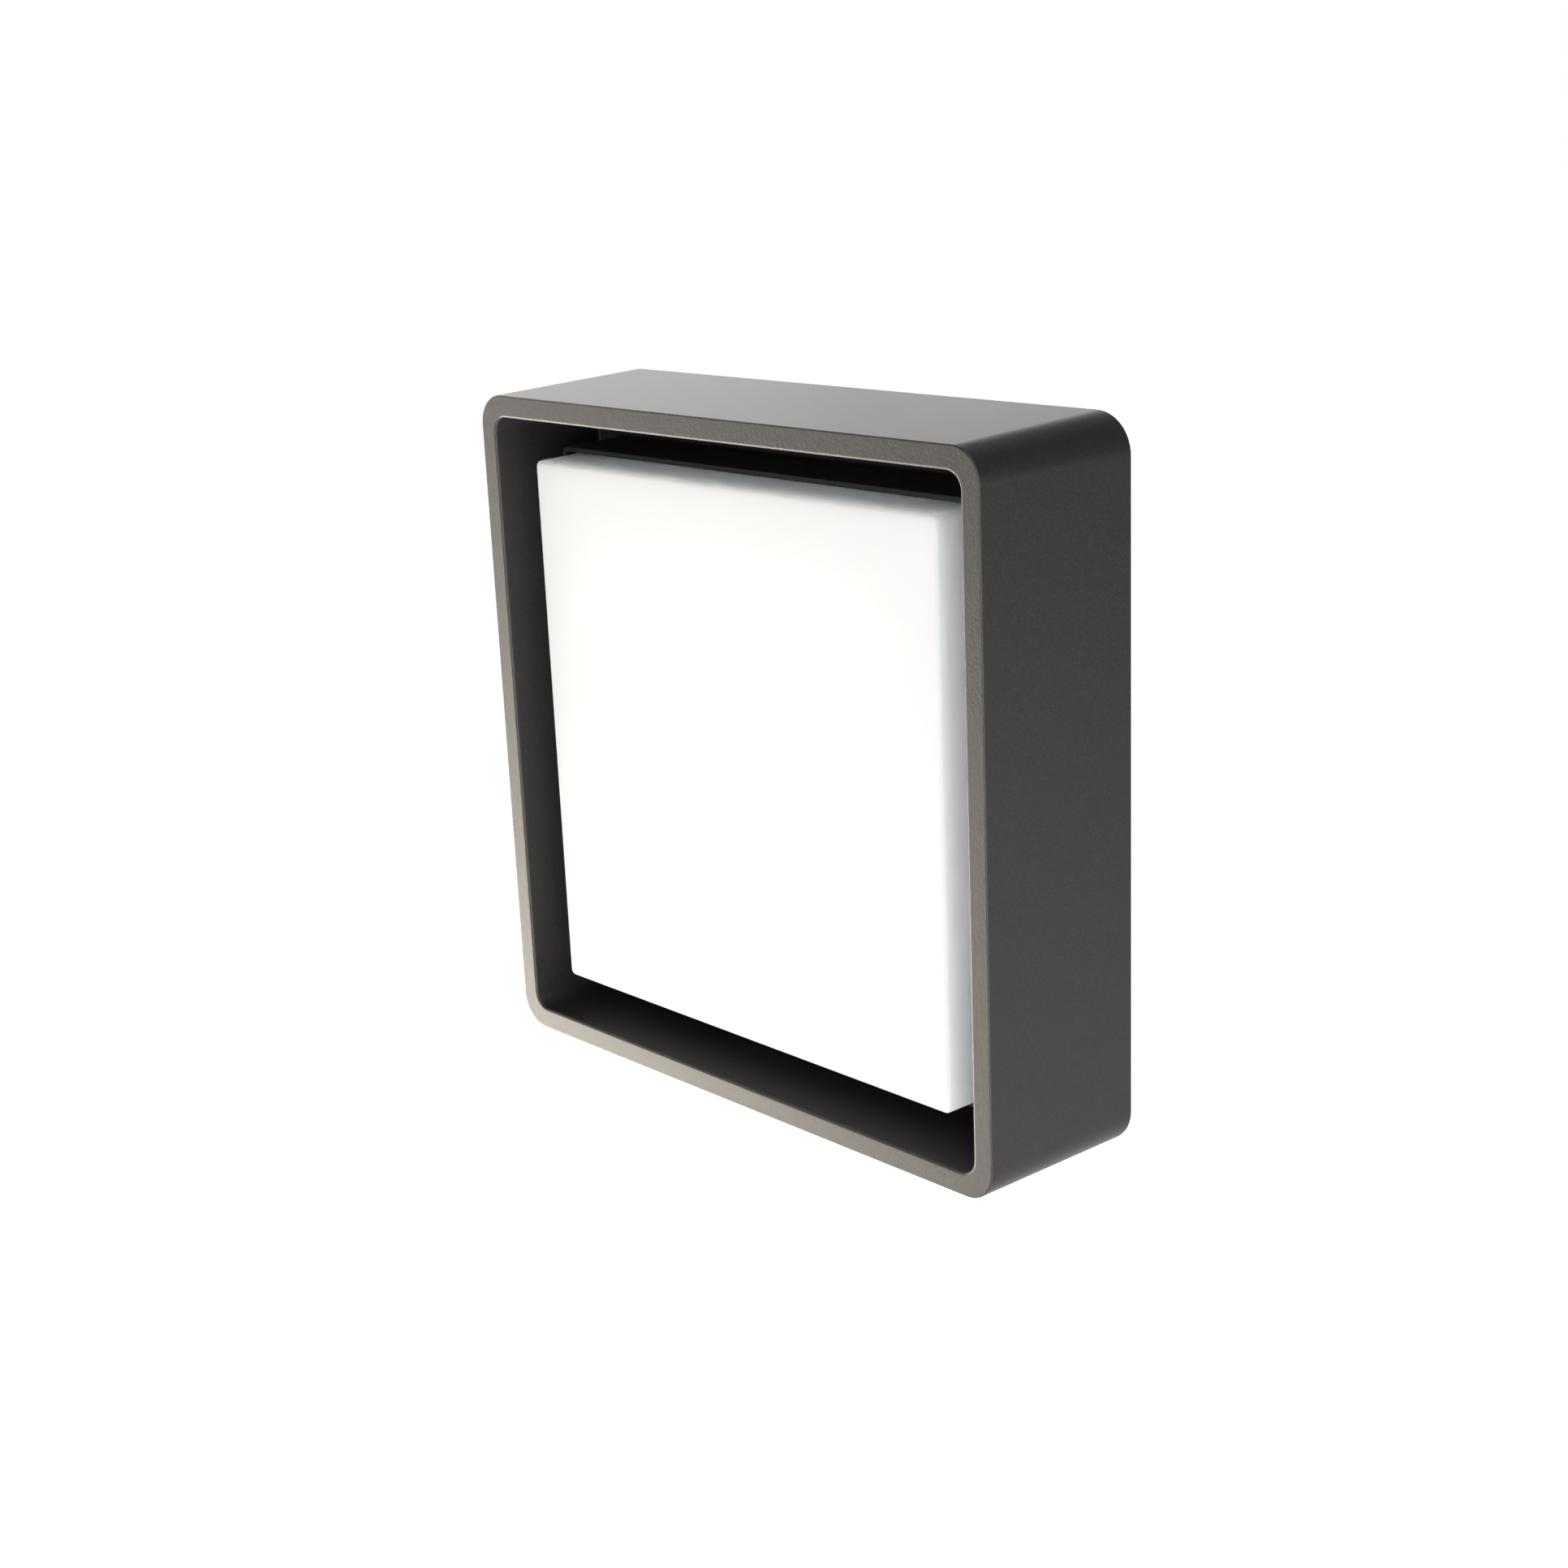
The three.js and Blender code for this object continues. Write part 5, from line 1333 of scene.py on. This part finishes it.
# %% Terminal buttons
BUTTON_WIDTH = 6.0
BUTTON_BACK = 14.2
for name, pole in zip(("live", "neutral", "earth"), POLES):
    button = block(pole, TERMINAL_Z, BUTTON_WIDTH, BUTTON_WIDTH, BUTTON_BACK, BUTTON_BACK + 5, edge=0.35)
    screwdriver_slot = block(pole, TERMINAL_Z, 1, 3.6, BUTTON_BACK - 1.2, BUTTON_BACK + 0.7, edge=0.1)
    combined(button, [screwdriver_slot], "DIFFERENCE")
    finished(f"{name}_button_cap", button, ORANGE_PLASTIC)
    place_piece(button, f"{name}_button", "orange_plastic", f"terminal_button_{name}")

# %% Cable clamp and earth lug
STRAP_WIDTH, STRAP_HEIGHT = 8.0, 26.0
STRAP_BACK, STRAP_FRONT = 21.2, 24.2
strap = block(CLAMP_X, CLAMP_Z, STRAP_WIDTH, STRAP_HEIGHT, STRAP_BACK, STRAP_FRONT, edge=0.7)
tooth = block(CLAMP_X, CLAMP_Z, 2, 10, STRAP_FRONT - 0.5, STRAP_FRONT + 1, edge=0.3)
combined(strap, [tooth], "UNION")
strap_holes = [bar(CLAMP_X, CLAMP_Z + side * CLAMP_REACH, M3_HOLE, 20, 27) for side in (-1, 1)]
combined(strap, strap_holes, "DIFFERENCE")
finished("cable_strap", strap, BLACK_PLASTIC)
place_piece(strap, "lamp_body", "black_plastic", "cable_clamp")

LUG_DEPTH = 29.7
LUG_BACK = LUG_DEPTH - 0.8
ring = bar(EARTH_X, EARTH_Z, 4, LUG_BACK, LUG_DEPTH, edge=0.15)
tongue = block(EARTH_X, EARTH_Z + 5.5, 3, 6, LUG_BACK, LUG_DEPTH, edge=0.1)
barrel = upright(EARTH_X, LUG_DEPTH - 1.3, 1.5, EARTH_Z + 7, EARTH_Z + 11)
combined(ring, [tongue, barrel], "UNION")
combined(ring, [bar(EARTH_X, EARTH_Z, M4_HOLE, 26, 31)], "DIFFERENCE")
finished("earth_ring_terminal", ring, ZINC)
place_piece(ring, "lamp_body", "zinc_plated_steel", "earth_lug")

# %% [markdown]
# ## Leads
# Each lead is a stranded wire, 2 mm over its insulation, pushed in at both ends. Its route is a smooth curve
# through given points, straight out of each hole for its first few millimetres, as stiff wire leaves a
# terminal. A curve with a round bevel makes the tube.

# %% Smooth routes
ROUTE_STEPS = 10  # from one point of a route to the next
LEAD_RADIUS = 1.0


def smooth_route(points):
    """A curve through all the points that neither loops nor overshoots where they are close together."""
    spread = [points[0] * 2 - points[1], *points, points[-1] * 2 - points[-2]]
    route = []
    for before, start, end, after in zip(spread, spread[1:], spread[2:], spread[3:]):
        first = math.sqrt((start - before).length)
        span = math.sqrt((end - start).length)
        last = math.sqrt((after - end).length)
        enter = ((start - before) / first - (end - before) / (first + span) + (end - start) / span) * span
        leave = ((end - start) / span - (after - start) / (span + last) + (after - end) / last) * span
        for k in range(ROUTE_STEPS):
            t = k / ROUTE_STEPS
            slow_start = start * (2 * t**3 - 3 * t**2 + 1) + enter * (t**3 - 2 * t**2 + t)
            route.append(slow_start + end * (3 * t**2 - 2 * t**3) + leave * (t**3 - t**2))
    return [*route, points[-1]]


def lead(name, points, colour, node):
    """A lead through points (x, depth, z) in millimetres."""
    route = smooth_route([Vector((x, -depth, z)) * MM for x, depth, z in points])
    curve = bpy.data.curves.new(name, "CURVE")
    curve.dimensions = "3D"
    curve.bevel_depth = LEAD_RADIUS * MM
    curve.bevel_resolution = 3
    curve.use_fill_caps = True
    line = curve.splines.new("POLY")
    line.points.add(len(route) - 1)
    for point, place in zip(line.points, route):
        point.co = (*place, 1.0)
    drawn = linked(name, curve)
    mesh = bpy.data.meshes.new_from_object(drawn)
    bpy.data.objects.remove(drawn)
    tube = finished(name, linked(name, mesh), INSULATION[colour])
    place_piece(tube, "lamp_body", f"{colour}_insulation", node)


# %% Five leads
TERMINAL_LOW = TERMINAL_Z - TERMINAL_HEIGHT / 2
DRIVER_TOP = DRIVER_Z + CASE_HEIGHT / 2
DRIVER_LOW = DRIVER_Z - CASE_HEIGHT / 2
STRAIGHT = (4, 0, -4)  # heights about a hole's mouth through which a lead runs straight


def supply_route(start, end):
    """From a terminal down to the driver's upper side."""
    drop = [(start, WIRE_DEPTH, TERMINAL_LOW + step) for step in STRAIGHT]
    drop.append(((3 * start + end) / 4, 23.5, TERMINAL_LOW - 8.5))
    drop.append(((start + 3 * end) / 4, 22.5, DRIVER_TOP + 8.5))
    return drop + [(end, LEAD_DEPTH, DRIVER_TOP + step) for step in STRAIGHT]


def output_route(start, entry, depth):
    """From the driver's lower side along the deck and through it to the LED board's connector."""
    drop = [(start, LEAD_DEPTH, DRIVER_LOW + step) for step in STRAIGHT]
    bend = [(start + 2, (LEAD_DEPTH + depth) / 2, DRIVER_LOW - 9), (start + 8, depth, DRIVER_LOW - 13)]
    run = [((start + entry) / 2, depth), (entry - 8, depth)]
    through = [(entry - 2.5, depth + 0.8), (entry - 0.4, depth + 3.2), (entry, 32), (entry, 36)]
    rise = [(entry, 38.6, -80.8), (entry, 40.9, -79.1), (entry, 41.6, -76), (entry, 41.6, -71.3)]
    return drop + bend + [(x, w, DECK_ENTRY_Z) for x, w in run + through] + rise


earth_points = [(72, 24, 7), (72, 24, 3), (72.8, 24.5, 0), (78, 27.1, -3), (80, 28.2, -6), (80, 28.4, -8.7)]
near_hole, far_hole = LEAD_HOLES
lead("live_wire", supply_route(POLES[0], near_hole), "brown", "live_lead")
lead("neutral_wire", supply_route(POLES[1], far_hole), "blue", "neutral_lead")
lead("earth_wire", earth_points, "earth", "earth_lead")
lead("plus_wire", output_route(-near_hole, -1.4, 25.5), "red", "plus_lead")
lead("minus_wire", output_route(-far_hole, 1.4, 21.5), "black", "minus_lead")
